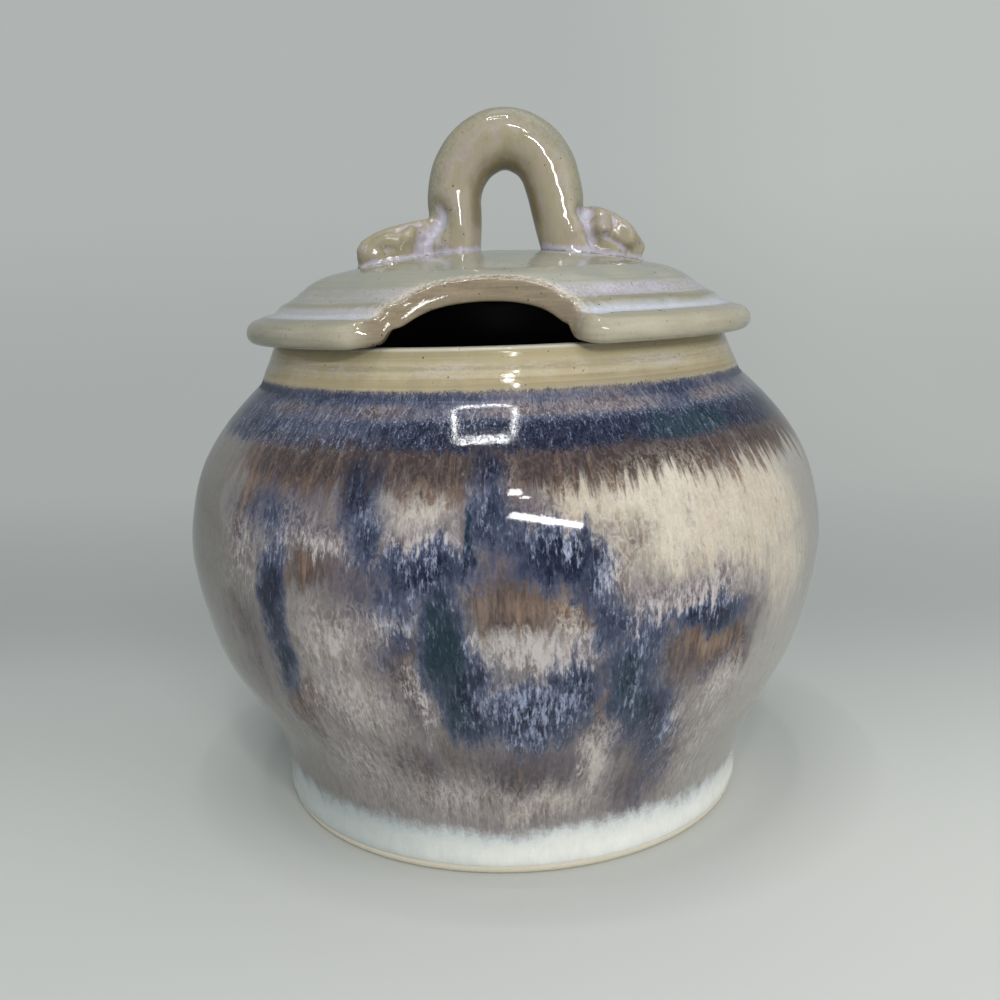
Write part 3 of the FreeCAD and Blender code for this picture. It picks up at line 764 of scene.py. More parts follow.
def handle_glaze(tints):
    """Khaki glaze on the coil, speckled outside the bend, with lilac in its dents and seam, and
    painted shade inside the bend and in the seam's crease.
    """
    material, place, shader = new_material("handle_glaze")
    mottle = place.noise((0.13, 0.13, 0.13), 3.0, 0.6) - 0.5
    grain = place.noise((1.1, 1.1, 0.7), 3.0, 0.7) - 0.5
    fine = place.noise((1.9, 1.9, 1.9), 2.0, 0.65) - 0.5
    streaks = place.noise((0.5, 0.5, 0.16), 3.0, 0.6, 0.5) - 0.5
    pool = attribute(place, "pool")
    seam = attribute(place, "seam")
    outer = attribute(place, "outer")

    # Khaki with pinkish streaks, speckled celadon on the outer side of the bend, painted shade
    # inside it
    base = blend(place, (mottle * 2.0 + streaks * 2.4 + 0.5).capped(), tints.khaki, tints.fawn)
    ash = blend(place, (fine * 2.4 + 0.5).capped(), tints.celadon, tints.olive)
    base = base.mixed(ash, (outer + mottle * 1.6 + grain * 0.7).rise(0.35, 0.95) * 0.85)
    lilac = (outer + mottle * 1.4 + streaks * 1.2).band(0.30, 0.42, 0.14) * (fine * 2.0 + 0.6)
    base = base.mixed(tints.haze, lilac.capped() * 0.45)
    base = base.tinted((0.72, 0.70, 0.64), (streaks * -2.2 + grain * 0.8).rise(0.1, 0.8) * 0.5)
    # Painted shade on the inner side of the arch
    base = base.tinted((0.56, 0.52, 0.42), outer.rise(-0.25, -0.95) * 0.9)

    # Lilac glaze lies streaked in the dents, white where it is thickest
    lies = pool + streaks * 1.3 + grain * 0.7
    base = base.mixed(tints.olive, lies.band(0.20, 0.34, 0.12) * 0.35)
    base = base.mixed(tints.haze, lies.rise(0.34, 0.80) * 0.85)
    base = base.mixed(tints.pool, (lies + fine * 0.5).rise(0.72, 1.25) * 0.75)
    base = base.mixed(tints.haze, (streaks * 3.2 + grain * 0.8 - 0.12).capped() * 0.35)

    # A broken lilac line along the seam with the lid, with painted shade right in the crease
    line = seam + streaks * 1.0 + grain * 0.7
    base = base.mixed(tints.haze, line.rise(0.40, 0.75) * 0.85)
    base = base.mixed(tints.pool, (line + mottle * 1.5).rise(0.75, 1.15) * 0.8)
    # Painted shade in the crease where the coil meets the lid
    base = base.mixed(tints.olive * 0.5, (seam + grain * 0.5).rise(0.84, 1.0) * 0.7)
    specks = place.noise((1.3, 1.3, 1.3), 1.0).rise(0.745, 0.775)
    base = base.mixed(tints.brown * 0.35, specks * 0.7)
    relief = mottle * 0.4 + fine * (pool * 0.15)
    glazed(shader, base, 0.055 + 0.05 * mottle, relief, 0.12, LID_GLOSS)
    return material


def stage_material(tints):
    """Floor and wall in one: paler in front, greyer behind and up the sweep, with painted light
    towards the right and painted shade at the left front and at the wall's foot.
    """
    material, place, shader = new_material("backdrop_paint")
    across, back, up = (place.part(k) for k in range(3))
    grain = place.noise((0.02, 0.02, 0.02), 2.0)
    base = blend(place, back.rise(-60.0, 120.0), tints.floor, tints.wall)
    base = base.tinted((0.97, 0.97, 0.97), grain * 0.5)
    # Painted shade over the back of the floor and the foot of the wall
    base = base.tinted((0.89, 0.89, 0.89), back.rise(-40.0, 120.0) * up.rise(200.0, 0.0))
    # Painted light: brighter towards the right
    base = base.tinted((1.15, 1.14, 1.13), across.rise(0.0, 280.0))
    # Painted shade at the left of the floor in front
    base = base.tinted((0.90, 0.91, 0.91), across.rise(30.0, -120.0) * back.rise(60.0, 0.0))
    shader.inputs["Roughness"].default_value = 0.85
    shader.inputs["Specular IOR Level"].default_value = 0.1

    # Seen by the camera, the wall has its own plain colour, and the floor keeps the shadow
    wall = back.rise(60.0, 330.0).most(up.rise(0.0, 60.0))
    seen = place.node("ShaderNodeLightPath", output=0)
    glow = place.node("ShaderNodeEmission", values={"Color": base, "Strength": 1.0})
    mix = place.node("ShaderNodeMixShader", values={0: seen * wall})
    tree = material.node_tree
    for start, end in (
        (base.socket, shader.inputs["Base Color"]),
        (shader.outputs[0], mix.socket.node.inputs[1]),
        (glow.socket, mix.socket.node.inputs[2]),
        (mix.socket, tree.nodes["Material Output"].inputs["Surface"]),
    ):
        tree.links.new(start, end)
    return material


# ---- The pot ----

# The pot's section from under the foot to its inside floor, as (radius, height) in millimetres
UNDERSIDE = ((0, 3.5), (36.6, 3.5), (38.0, 2.7), (38.5, 0.7), (39.1, 0.0), (43.9, 0.0))
OUTSIDE = (
    (44.7, 0.35), (45.08, 1.1), (45.1, 1.55), (45.4, 2.1), (45.42, 5.2), (46.25, 10.0),
    (48.5, 16.0), (52.8, 24.0), (56.6, 32.0), (58.95, 40.5), (60.35, 48.0), (60.65, 52.0),
    (59.95, 58.5), (57.85, 66.0), (55.6, 70.2), (52.9, 74.0), (51.25, 75.9), (49.47, 77.8),
    (47.9, 79.35), (46.66, 80.5), (45.98, 81.1), (45.62, 81.7), (45.2, 82.7), (44.7, 83.8),
    (44.15, 84.9), (43.7, 85.95), (43.3, 86.95), (42.93, 87.85), (42.6, 88.5),
)
# The number of the section's place at the crease between the shoulder and the collar
CREASE = 20
RIM = ((42.25, 88.85), (41.6, 89.0), (39.9, 89.0), (39.2, 88.75), (38.9, 88.1), (38.9, 84.3))
INSIDE = (
    (39.6, 82.6), (42.4, 79.4), (47.1, 74.2), (51.8, 68.0), (55.0, 60.0), (56.1, 51.0),
    (54.6, 41.0), (51.2, 31.0), (46.6, 22.0), (41.7, 14.2), (37.0, 10.4), (30.0, 8.7), (0, 8.5),
)


def make_pot(sizes, tints):
    """Draws the pot's section, spins it and gives it the marks of a hand's throwing."""
    places = [(r, 0.0, z) for r, z in UNDERSIDE + OUTSIDE + RIM + INSIDE]
    corners = (0, 1, 4, 5, len(UNDERSIDE) + CREASE, len(UNDERSIDE) + len(OUTSIDE) + len(RIM) - 1,
               len(places) - 1)
    section = drawn("pot_section", places, corners)
    half = points_of(section)
    half = half[:int(np.argmax(half[:, 2]))]
    outer = half[half[:, 0] > 44.0]
    pot = spun(section, sizes.columns)

    points = points_of(pot)
    radius = np.hypot(points[:, 0], points[:, 1])
    height = points[:, 2]
    angle = np.degrees(np.arctan2(points[:, 0], -points[:, 1]))
    wall = np.interp(height, outer[:, 2], outer[:, 0])
    inside = (height > 4.0) & (radius < wall - 1.6) & (height < 88.0) & (radius < 57.0)
    outside = ~inside & (height > 1.0) & (radius > 43.0)

    # Thrown by hand: leaner low on the left, and faint rings in the wall
    lean = 1.5 * hill(19.5, 8.0, height) * hill(-90.0, 55.0, angle)
    wobble = 0.12 * (1 + np.sin(2 * np.radians(angle) + height * 0.05))
    wobble = wobble * smooth_step(3, 12, height) * smooth_step(86, 78, height)
    dent = np.where(outside, lean + wobble, 0.0)
    points[:, :2] *= ((radius - dent) / np.maximum(radius, 1e-6))[:, None]
    move_points(pot, points)
    mark(pot, "inside", inside)
    mark(pot, "underside", (height < 3.7) & (radius < 43.9))
    fitted(pot, sizes)
    return finished(pot, "pot_thrown", pot_glaze(tints), "pot", ["pot"])


# ---- The lid ----

# The lid's top from its crown to the start of its rounded edge, and its underside from the edge
LID_TOP = (
    (0, 104.6), (12, 104.07), (22, 102.78), (28.5, 101.5), (32.2, 100.65), (35.2, 99.35),
    (37.4, 97.75), (38.6, 96.75), (39.5, 96.25), (40.35, 96.02), (41.0, 95.55), (41.7, 94.55),
    (42.8, 93.95), (44.2, 93.72), (45.6, 93.1),
)
LID_UNDERSIDE = (
    (0, 99.6), (20, 98.4), (32, 96.5), (35.4, 95.5), (38.2, 92.6), (41.5, 89.0), (46.5, 89.0),
)
LID_RADIUS = 45.6

# The top edge of the lid in plan where the notch is cut, from its left lug to its right one
NOTCH_EDGE = (
    (-24.4, -38.5), (-22.5, -39.45), (-20.7, -39.6), (-18.8, -39.0), (-16.8, -37.9),
    (-14.6, -36.75), (-12.0, -35.7), (-8.2, -34.8), (-4.1, -34.35), (0.7, -34.15),
    (7.2, -34.75), (12.0, -36.2), (14.5, -38.1), (16.0, -40.2), (17.6, -41.6), (19.6, -41.2),
    (21.6, -40.1),
)
# The section of the ring that keeps the lid in the mouth
RING_SECTION = (
    (35.3, 95.9), (35.3, 85.3), (36.0, 84.55), (37.4, 84.55), (38.1, 85.3), (38.1, 93.3),
)

# The lid's points lie in rows: plain circles out to CIRCLES millimetres, rows that spread from
# there to the outline, and rows round the edge
CIRCLES = 24.0
CIRCLE_SHARES = np.linspace(0.0, 1.0, 9)[1:-1]
SPREAD_ROWS = 56
EDGE_ROWS = 15


def relaxed(inner, outline, rows):
    """Rows of points from an inner circle out to an outline. Each point moves until the rows
    and columns spread evenly, so that none fold over in the notch's corners."""
    share = np.linspace(0.0, 1.0, rows)[:, None, None]
    grid = inner[None] * (1 - share) + outline[None] * share
    for _ in range(700):
        here, down, up = grid[1:-1], grid[:-2], grid[2:]
        left, right = np.roll(here, 1, axis=1), np.roll(here, -1, axis=1)
        across = (right - left) / 2
        outward = (up - down) / 2
        twist = (np.roll(up, -1, 1) - np.roll(up, 1, 1) - np.roll(down, -1, 1)
                 + np.roll(down, 1, 1)) / 4
        a = (outward ** 2).sum(-1, keepdims=True)
        b = (across * outward).sum(-1, keepdims=True)
        c = (across ** 2).sum(-1, keepdims=True)
        best = (a * (left + right) + c * (up + down) - 2 * b * twist) / (2 * (a + c))
        grid[1:-1] += 0.95 * (best - here)
    return grid


def even_steps(line, count):
    """Points at even steps along a closed line, from the middle of the lid's back."""
    loop = np.vstack([line, line[:1]])
    way = np.concatenate([[0.0], np.cumsum(np.hypot(*np.diff(loop, axis=0).T))])
    steps = np.linspace(0.0, way[-1], count, endpoint=False)
    return np.column_stack([np.interp(steps, way, loop[:, k]) for k in (0, 1)])


def arc(side, angles):
    """Points on the lid's round edge, at angles from the front to one side."""
    turns = [math.radians(angle) for angle in angles]
    return [(side * LID_RADIUS * math.sin(t), -LID_RADIUS * math.cos(t), 0.0) for t in turns]


def lid_outline(columns):
    """The lid's edge in plan, from the back round by the left, the notch and the right. Gives its
    points, the way outwards at each and how far each is in the notch, from 0 to 1."""
    notch = [(x, y, 0.0) for x, y in NOTCH_EDGE]
    places = arc(-1, range(180, 36, -8)) + notch + arc(1, range(36, 180, 8))
    plan = line_points(drawn("lid_outline", places, closed=True, steps=12))[:, :2]
    outline = even_steps(plan, columns)

    along = np.roll(outline, -1, 0) - np.roll(outline, 1, 0)
    along /= np.linalg.norm(along, axis=1, keepdims=True)
    outward = np.column_stack([along[:, 1], -along[:, 0]])
    if (outward * outline).sum() < 0:
        outward = -outward

    in_notch = smooth_step(LID_RADIUS - 0.25, 43.2, np.hypot(*outline.T))
    in_notch *= np.abs(angle_from_front(outline)) < 35
    wrapped = np.concatenate([in_notch[-4:], in_notch, in_notch[:4]])
    return outline, outward, np.convolve(wrapped, np.ones(9) / 9, "valid")


def angle_from_front(points):
    """The angles in degrees of places in plan, to the right of the front."""
    return np.degrees(np.arctan2(points[:, 0], -points[:, 1]))


def raised(plan, heights):
    """Places in plan with their heights."""
    return np.concatenate([plan, heights[..., None]], axis=-1)


def lid_rows(outline, outward, in_notch, sense):
    """Rows of points from the crown over the edge and back under to the vault's middle, with the
    numbers of the last row on top and of the first one underneath."""
    top_line = line_points(drawn("lid_top", [(r, 0, z) for r, z in LID_TOP], steps=8))
    under_line = line_points(
        drawn("lid_under", [(r, 0, z) for r, z in LID_UNDERSIDE], (5,), steps=8))

    def top_height(plan):
        return np.interp(np.hypot(plan[..., 0], plan[..., 1]), top_line[:, 0], top_line[:, 2])

    def under_height(plan):
        return np.interp(np.hypot(plan[..., 0], plan[..., 1]), under_line[:, 0], under_line[:, 2])

    # The underside reaches a little further out than the top, and more so in the notch
    lower = outline + outward * (0.4 + 0.8 * in_notch)[:, None]
    first = np.arctan2(outline[0, 0], -outline[0, 1])
    turns = first + sense * np.linspace(0.0, 2 * math.pi, len(outline), endpoint=False)
    circle = np.column_stack([np.sin(turns), -np.cos(turns)]) * CIRCLES
    top_grid = relaxed(circle, outline, SPREAD_ROWS)
    low_grid = relaxed(circle, lower, SPREAD_ROWS)

    rows = [raised(circle * share, top_height(circle * share)) for share in CIRCLE_SHARES]
    rows += list(raised(top_grid, top_height(top_grid)))
    last_top = len(rows) - 1

    # Round the edge, which bulges less in the notch
    low_heights = np.maximum(under_height(lower), RIM_HEIGHT)
    cut_heights = np.maximum(top_height(outline) - 4.1, RIM_HEIGHT)
    low_heights = low_heights * (1 - in_notch) + cut_heights * in_notch
    top_edge, low_edge = rows[-1], raised(lower, low_heights)
    swell = (1.78 * (1 - in_notch) + 1.05 * in_notch)[:, None]
    power = (2.0 + 0.8 * in_notch)[:, None]
    for step in range(1, EDGE_ROWS):
        way = (1 - math.cos(math.pi * step / EDGE_ROWS)) / 2
        between = top_edge * (1 - way) + low_edge * way
        bulge = swell * (1 - abs(2 * way - 1) ** power) ** (1 / power)
        between[:, :2] += outward * bulge
        rows.append(between)
    first_low = len(rows)

    low_rows = raised(low_grid, under_height(low_grid))
    fade = np.linspace(0.0, 1.0, SPREAD_ROWS)[:, None]
    low_rows[..., 2] += (low_heights - under_height(lower))[None] * smooth_step(0.72, 1.0, fade)
    rows += list(low_rows[::-1])
    for share in CIRCLE_SHARES[::-1]:
        rows.append(raised(circle * share, under_height(circle * share)))
    return np.array(rows), last_top, first_low


def lid_skin(columns):
    """Spins a line that has a place for each row of the lid's points, and moves the points of
    its skin to their rows and columns."""
    outline, outward, in_notch = lid_outline(columns)
    sense = 1 if angle_from_front(outline)[columns // 4] > 0 else -1
    rows, last_top, first_low = lid_rows(outline, outward, in_notch, sense)

    # The line starts 200 mm up on the axis and falls by 1 mm a row
    count = len(rows)
    line = [(10 + 0.1 * min(k, count - k), 0.0, 200.0 - k) for k in range(count)]
    line = [(0.0, 0.0, 200.0)] + line + [(0.0, 0.0, 200.0 - count)]
    lid = spun(drawn("lid_section", line, range(count + 2), steps=1), columns)
    spots = points_of(lid)
    row = np.round(200.0 - spots[:, 2]).astype(int)
    column = np.round(angle_from_front(spots) / 360 * columns).astype(int) * sense % columns
    on_axis = np.hypot(spots[:, 0], spots[:, 1]) < 1.0
    on_top = spots[:, 2] > 100.0
    placed = rows[np.clip(row, 0, count - 1), column]
    placed[on_axis & on_top] = (0, 0, LID_TOP[0][1])
    placed[on_axis & ~on_top] = (0, 0, LID_UNDERSIDE[0][1])
    move_points(lid, placed)

    cut = smooth_step(last_top - 1, last_top + 2, row) * (row < first_low + 3)
    crest = hill(last_top, 2.4, row.astype(float))
    mark(lid, "cut", np.where(on_axis, 0.0, cut * in_notch[column]))
    mark(lid, "crest", np.where(on_axis, 0.0, crest * in_notch[column] ** 2))
    mark(lid, "under", np.where(on_axis, ~on_top, row > first_low + 2))
    faced_out(lid)
    return lid


def make_lid(sizes, tints):
    """Makes the lid's notched skin and the ring under it, which is open at the front for a
    spoon."""
    lid = lid_skin(sizes.columns + 96)
    begin = math.radians(-125.0)
    places = [(r * math.cos(begin), r * math.sin(begin), z) for r, z in RING_SECTION]
    ring = spun(drawn("ring_section", places, (0, 5), True, 4), 120, 290.0, filled=True)
    for name, value in (("under", 1.0), ("cut", 0.0), ("crest", 0.0)):
        mark(ring, name, np.full(len(ring.data.vertices), value))
    only(lid)
    ring.select_set(True)
    bpy.ops.object.join()
    fitted(lid, sizes)
    return finished(lid, "lid_thrown", lid_glaze(tints), "lid", ["lid"])


# ---- The handle ----

# The coil's middle line over the arch, as (across, back, height, radius) seen from the front. The
# arch leans back a little, its right leg more than its left one
ARCH_LINE = (
    (-8.2, -0.3, 100.8, 5.0), (-7.9, -0.2, 105.0, 5.0), (-7.6, 0.45, 110.0, 5.08),
    (-7.45, 1.35, 115.5, 5.15), (-5.7, 1.7, 120.3, 5.45), (-2.3, 1.75, 123.7, 5.7),
    (2.3, 1.75, 125.08, 5.76), (6.6, 1.35, 123.6, 5.7), (9.6, 0.7, 120.4, 5.45),
    (11.2, -0.05, 116.0, 5.3), (12.1, -0.75, 111.5, 5.15), (13.2, -1.3, 106.5, 5.15),
    (14.6, -1.7, 101.2, 5.3),
)
CROWN_TOP = 130.84
# The middle of the arch's bend
BEND_MIDDLE = (2.3, 0.0, 112.0)
# The turned-out ends on the lid, as (way out from the leg, way to the front, height over the
# lid of the coil's middle, half width)
LEFT_END = (
    (0.0, 0.0, 3.4, 4.3), (5.0, 1.4, 3.0, 4.1), (9.5, 2.7, 2.5, 4.0), (13.4, 3.9, 2.0, 3.8),
    (16.1, 4.6, 1.7, 3.1), (17.7, 5.0, 1.5, 1.8),
)
RIGHT_END = (
    (0.0, 0.0, 3.4, 4.4), (3.5, -0.5, 4.2, 4.9), (7.0, -1.1, 3.5, 4.9), (10.3, -1.6, 2.4, 4.2),
    (12.6, -2.0, 1.6, 3.2), (14.0, -2.2, 1.1, 2.0),
)
# The presses of the potter's thumb and tool, each from one place to another, with its reach and
# its depth. A lump has a depth below zero
PRESSES = (
    ((-10.9, -3.4, 111.0), (-12.4, -5.5, 105.8), 2.7, 2.4),
    ((-15.6, -4.6, 109.8), (-14.8, -6.6, 105.2), 0.9, -0.6),
    ((-14.6, -3.0, 110.6), (-18.0, -5.6, 109.0), 1.1, 0.6),
    ((-16.4, -6.4, 107.4), (-19.6, -7.2, 107.6), 1.5, -0.8),
    ((-22.0, -8.6, 105.2), (-17.0, -7.6, 104.2), 1.1, 0.6),
    ((-7.0, -5.2, 114.8), (-6.6, -5.4, 109.4), 1.0, -0.35),
    ((-13.6, -6.4, 104.6), (-10.0, -5.6, 104.4), 1.3, -0.4),
    ((-22.6, -6.4, 108.0), (-24.6, -7.6, 105.0), 1.2, 0.35),
    ((16.4, -4.4, 111.2), (18.6, -4.4, 104.6), 1.2, 1.1),
    ((16.8, 0.0, 112.0), (17.4, -3.0, 110.6), 1.3, 0.9),
    ((20.0, -3.0, 110.6), (19.8, -3.8, 108.2), 1.5, -0.9),
    ((20.8, -4.2, 106.2), (25.6, -2.4, 103.2), 0.9, 0.9),
    ((22.4, -2.2, 109.6), (22.0, -3.4, 106.8), 0.7, 0.6),
    ((24.2, -1.6, 108.4), (25.4, -1.6, 105.4), 1.3, -0.8),
    ((18.2, -4.8, 103.6), (22.0, -4.0, 103.2), 1.0, -0.5),
)


def on_lid(x, y):
    """A place in plan, as seen from the photograph's front, turned to the part's own front."""
    turn = math.radians(FRONT_TURN)
    return x * math.cos(turn) - y * math.sin(turn), x * math.sin(turn) + y * math.cos(turn)


def lid_height(x, y):
    """The lid's crown over places in plan."""
    return np.interp(np.hypot(x, y), [r for r, z in LID_TOP], [z for r, z in LID_TOP])


def rolled(coil_width):
    """The handle before it is pressed: an arch and two turned-out ends on flattened pads, made
    one piece of clay and wiped smooth."""
    thicker = coil_width / (COIL_WIDTH * MM)
    places = [(*on_lid(x, back), z) for x, back, z, half in ARCH_LINE]
    clay = [coil("arch", places, [half * thicker for *_, half in ARCH_LINE], 12)]
    for side, foot, end in ((-1, -8.0, LEFT_END), (1, 13.8, RIGHT_END)):
        plan = [on_lid(foot + side * out, -front) for out, front, *_ in end]
        grounds = [lid_height(x, y) for x, y in plan]
        places = [(x, y, ground + shape[2]) for (x, y), ground, shape in zip(plan, grounds, end)]
        clay.append(coil("end", places, [half for *_, half in end], 8))
        places = [(x, y, ground - 0.3) for (x, y), ground in zip(plan, grounds)]
        pad = coil("pad", places, [half + 0.35 for *_, half in end], 8)
        flat = points_of(pad)
        ground = lid_height(flat[:, 0], flat[:, 1]) - 0.3
        flat[:, 2] = ground + (flat[:, 2] - ground) * 0.28
        move_points(pad, flat)
        clay.append(pad)
    only(clay[0])
    for piece in clay[1:]:
        piece.select_set(True)
    bpy.ops.object.join()
    handle = bpy.context.object
    remesh = handle.modifiers.new("one piece of clay", "REMESH")
    remesh.mode = "VOXEL"
    remesh.voxel_size = 0.32 * MM
    only(handle)
    bpy.ops.object.modifier_apply(modifier=remesh.name)
    soft = handle.modifiers.new("wiped smooth", "SMOOTH")
    soft.factor = 0.5
    soft.iterations = 14
    bpy.ops.object.modifier_apply(modifier=soft.name)
    return handle


def make_handle(sizes, tints):
    """Rolls the handle's coil and presses it onto the lid."""
    handle = rolled(sizes.coil_width)
    points = points_of(handle)
    normals = np.zeros(len(points) * 3)
    handle.data.vertices.foreach_get("normal", normals)
    normals = normals.reshape(-1, 3)
    smooth = points.copy()
    pool = np.zeros(len(points))
    for begin, end, reach, depth in PRESSES:
        a = np.array([*on_lid(*begin[:2]), begin[2]])
        way = np.array([*on_lid(*end[:2]), end[2]]) - a
        share = np.clip((smooth - a) @ way / (way @ way), 0.0, 1.0)
        gap = np.linalg.norm(smooth - a - share[:, None] * way, axis=1)
        points -= normals * (hill(0.0, reach, gap) * depth)[:, None]
        if depth > 0:
            pool = np.maximum(pool, hill(0.0, reach * 1.05, gap) * min(1.0, depth * 1.3))

    # Rolled by hand: slow swells along the coil, and more lumps in its pressed ends
    swells = np.array([noise.noise(Vector(p) * 0.09) for p in points])
    lumps = np.array([noise.noise(Vector(p) * 0.34) + 0.08 * noise.noise(Vector(p) * 0.9)
                      for p in points])
    pressed = smooth_step(111.5, 107.5, points[:, 2]) * smooth_step(
        6.5, 10.0, np.abs(points[:, 0] - 3.0) - 1.5)
    points += normals * (swells * 0.16 + lumps * (0.02 + 0.55 * pressed))[:, None]
    points[:, 2] = np.minimum(points[:, 2], CROWN_TOP)
    move_points(handle, points)

    # What the glaze reads, painted shade included: where it pools, how near the lid's seam is, and
    # the arch's outer side
    across, back, up = points.T
    seam_width = 1.7 + 0.9 * smooth_step(0, 10, across)
    mark(handle, "pool", np.clip(pool, 0, 1))
    mark(handle, "seam", np.clip(1.0 - (up - lid_height(across, back)) / seam_width, 0, 1))
    outward = points - BEND_MIDDLE
    outward[:, 1] = 0.0
    outward /= np.linalg.norm(outward, axis=1, keepdims=True)
    mark(handle, "outer", (outward * normals).sum(1) * smooth_step(103.0, 111.0, up))
    fitted(handle, sizes)
    return finished(handle, "handle_coil", handle_glaze(tints), "lid",
                    ["handle_arch", "handle_left_end", "handle_right_end"])


# ---- The stage ----

# The place in metres that the lamps face
POT_MIDDLE = (0.0, 0.0, 0.06)


def lamp(name, place, target, width, depth, radiance):
    """A flat soft lamp of a size in metres that faces a target."""
    bpy.ops.object.select_all(action="DESELECT")
    bpy.ops.object.light_add(type="AREA", location=place)
    light = bpy.context.object
    light.name = name
    light.data.shape = "RECTANGLE"
    light.data.size = width
    light.data.size_y = depth
    light.data.energy = radiance * math.pi * width * depth
    light.rotation_euler = (Vector(target) - Vector(place)).to_track_quat("-Z", "Y").to_euler()
    return light


def strip(name, start, end, thickness, radiance):
    """A narrow lamp between two places in metres, facing the pot."""
    start, end = Vector(start), Vector(end)
    middle = (start + end) / 2
    light = lamp(name, middle, POT_MIDDLE, (end - start).length, thickness, radiance)
    facing = (Vector(POT_MIDDLE) - middle).normalized()
    up = (end - start).cross(facing).normalized()
    turn = Matrix((facing.cross(up), up, -facing)).transposed()
    light.rotation_euler = turn.to_euler()


def make_backdrop(tints):
    """A floor that sweeps up into a wall behind the pot."""
    bpy.ops.object.select_all(action="DESELECT")
    bpy.ops.mesh.primitive_plane_add(size=1.0, location=(0, 0, 0))
    sweep = bpy.context.object
    sweep.name = "backdrop"
    only(sweep)
    bpy.ops.object.mode_set(mode="EDIT")
    bpy.ops.mesh.select_all(action="SELECT")
    bpy.ops.transform.resize(value=(3.0, 1.6, 1.0))
    bpy.ops.transform.translate(value=(0.0, -0.3, 0.0))
    bpy.ops.mesh.select_all(action="DESELECT")
    bpy.ops.object.mode_set(mode="OBJECT")
    for edge in sweep.data.edges:
        ends = [sweep.data.vertices[v].co.y for v in edge.vertices]
        edge.select = min(ends) > 0.4
    for vertex in sweep.data.vertices:
        vertex.select = vertex.co.y > 0.4
    bpy.ops.object.mode_set(mode="EDIT")
    bpy.ops.mesh.spin(steps=24, angle=math.radians(-90.0), center=(0, 0.5, 0.35), axis=(1, 0, 0))
    bpy.ops.mesh.extrude_region_move(TRANSFORM_OT_translate={"value": (0, 0, 1.3)})
    bpy.ops.object.mode_set(mode="OBJECT")
    if max(v.co.y for v in sweep.data.vertices) < 0.6:
        raise RuntimeError("the backdrop's sweep turned the wrong way")
    bpy.ops.object.shade_smooth()
    sweep.data.materials.append(stage_material(tints))


def make_lamps():
    """A pale room, two soft boxes, and the lamps that the glaze mirrors."""
    world = bpy.data.worlds.new("studio")
    bpy.context.scene.world = world
    world.use_nodes = True
    room = world.node_tree.nodes["Background"]
    room.inputs["Color"].default_value = (0.93, 0.96, 1.0, 1.0)
    room.inputs["Strength"].default_value = 0.50

    lamp("soft_box_overhead", (0.25, 0.35, 1.15), (0, 0, 0.05), 0.9, 0.7, 0.5)
    lamp("soft_box_right", (0.9, -0.5, 0.45), POT_MIDDLE, 0.6, 0.8, 1.0)
    near, far, left, right, high = -0.287, -0.068, -0.201, 0.062, 1.0
    strip("ring_lamp_near", (left + 0.02, near, high), (right - 0.02, near, high), 0.016, 55.0)
    strip("ring_lamp_far", (left + 0.02, far, high), (right - 0.02, far, high), 0.012, 55.0)
    strip("ring_lamp_left", (left, near + 0.012, high), (left, far - 0.006, high), 0.015, 55.0)
    strip("ring_lamp_right", (right, near + 0.012, high), (right, far - 0.006, high), 0.015, 55.0)
    strip("slanted_lamp", (0.065, -0.837, 0.512), (0.435, -0.800, 0.385), 0.050, 50.0)
    strip("small_lamp_high", (0.055, -0.650, 0.740), (0.112, -0.648, 0.738), 0.06, 60.0)
    strip("small_lamp_low", (0.120, -0.690, 0.690), (0.150, -0.695, 0.690), 0.04, 60.0)


def make_camera():
    """The camera at the photograph's viewing angle, its place in metres."""
    bpy.ops.object.select_all(action="DESELECT")
    distance, camera_height = 0.2117, 0.100
    pitch, roll, yaw = math.radians(11.79), math.radians(-1.89), math.radians(-0.22)
    forward = Vector((math.sin(yaw) * math.cos(pitch), math.cos(yaw) * math.cos(pitch),
                      -math.sin(pitch)))
    level = forward.cross(Vector((0, 0, 1))).normalized()
    upright = level.cross(forward)
    right = math.cos(roll) * level + math.sin(roll) * upright
    up = -math.sin(roll) * level + math.cos(roll) * upright
    about = Matrix.Rotation(math.radians(FRONT_TURN), 3, "Z")
    look = about @ Matrix((right, up, -forward)).transposed()
    bpy.ops.object.camera_add(location=about @ Vector((0, -distance, camera_height)))
    camera = bpy.context.object
    camera.rotation_euler = look.to_euler()
    camera.data.sensor_width = 36.0
    camera.data.lens = 1.08 * camera.data.sensor_width
    camera.data.clip_start = 0.01
    bpy.context.scene.camera = camera


def make_stage(tints):
    """The floor and wall, the lamps and the camera."""
    make_backdrop(tints)
    make_lamps()
    make_camera()
    bpy.context.scene.view_settings.view_transform = "Standard"


# ---- Operators, panel and registration ----

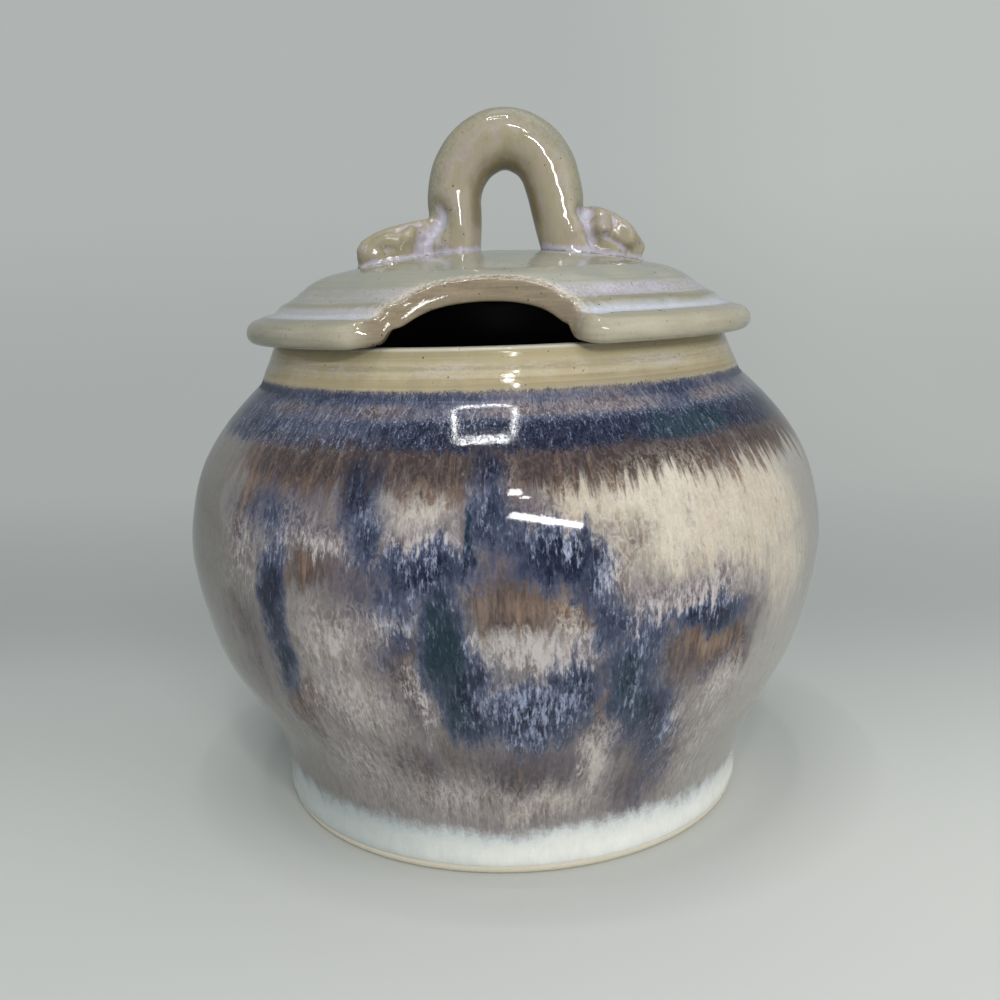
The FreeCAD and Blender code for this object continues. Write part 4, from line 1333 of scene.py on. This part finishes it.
class HONEYPOT_OT_pot(bpy.types.Operator):
    """Draws the pot's section, spins it and glazes it"""
    bl_idname = "honeypot.add_pot"
    bl_label = "Add the pot"

    def execute(self, context):
        make_pot(context.scene.honeypot_sizes, context.scene.honeypot_colours)
        return {"FINISHED"}


class HONEYPOT_OT_lid(bpy.types.Operator):
    """Spins the lid, cuts its spoon notch and glazes it"""
    bl_idname = "honeypot.add_lid"
    bl_label = "Add the lid"

    def execute(self, context):
        make_lid(context.scene.honeypot_sizes, context.scene.honeypot_colours)
        return {"FINISHED"}


class HONEYPOT_OT_handle(bpy.types.Operator):
    """Rolls the handle's coil, bends and presses it onto the lid and glazes it"""
    bl_idname = "honeypot.add_handle"
    bl_label = "Add the handle"

    def execute(self, context):
        make_handle(context.scene.honeypot_sizes, context.scene.honeypot_colours)
        return {"FINISHED"}


class HONEYPOT_OT_stage(bpy.types.Operator):
    """Sets up the floor, the lamps and the camera"""
    bl_idname = "honeypot.add_stage"
    bl_label = "Add the stage"

    def execute(self, context):
        make_stage(context.scene.honeypot_colours)
        return {"FINISHED"}


class HONEYPOT_PT_panel(bpy.types.Panel):
    bl_label = "Honey pot"
    bl_space_type = "VIEW_3D"
    bl_region_type = "UI"
    bl_category = "Honey pot"

    def draw(self, context):
        for step in STEPS:
            self.layout.operator(step.bl_idname)
        for group in (context.scene.honeypot_sizes, context.scene.honeypot_colours):
            for name in group.__annotations__:
                self.layout.prop(group, name)


STEPS = (HONEYPOT_OT_pot, HONEYPOT_OT_lid, HONEYPOT_OT_handle, HONEYPOT_OT_stage)
CLASSES = (HoneyPotSizes, HoneyPotColours, *STEPS, HONEYPOT_PT_panel)


def register():
    for one in CLASSES:
        bpy.utils.register_class(one)
    bpy.types.Scene.honeypot_sizes = PointerProperty(type=HoneyPotSizes)
    bpy.types.Scene.honeypot_colours = PointerProperty(type=HoneyPotColours)


def unregister():
    del bpy.types.Scene.honeypot_sizes
    del bpy.types.Scene.honeypot_colours
    for one in reversed(CLASSES):
        bpy.utils.unregister_class(one)


def main():
    register()
    bpy.ops.honeypot.add_pot()
    bpy.ops.honeypot.add_lid()
    bpy.ops.honeypot.add_handle()
    bpy.ops.honeypot.add_stage()


if __name__ == "__main__":
    main()
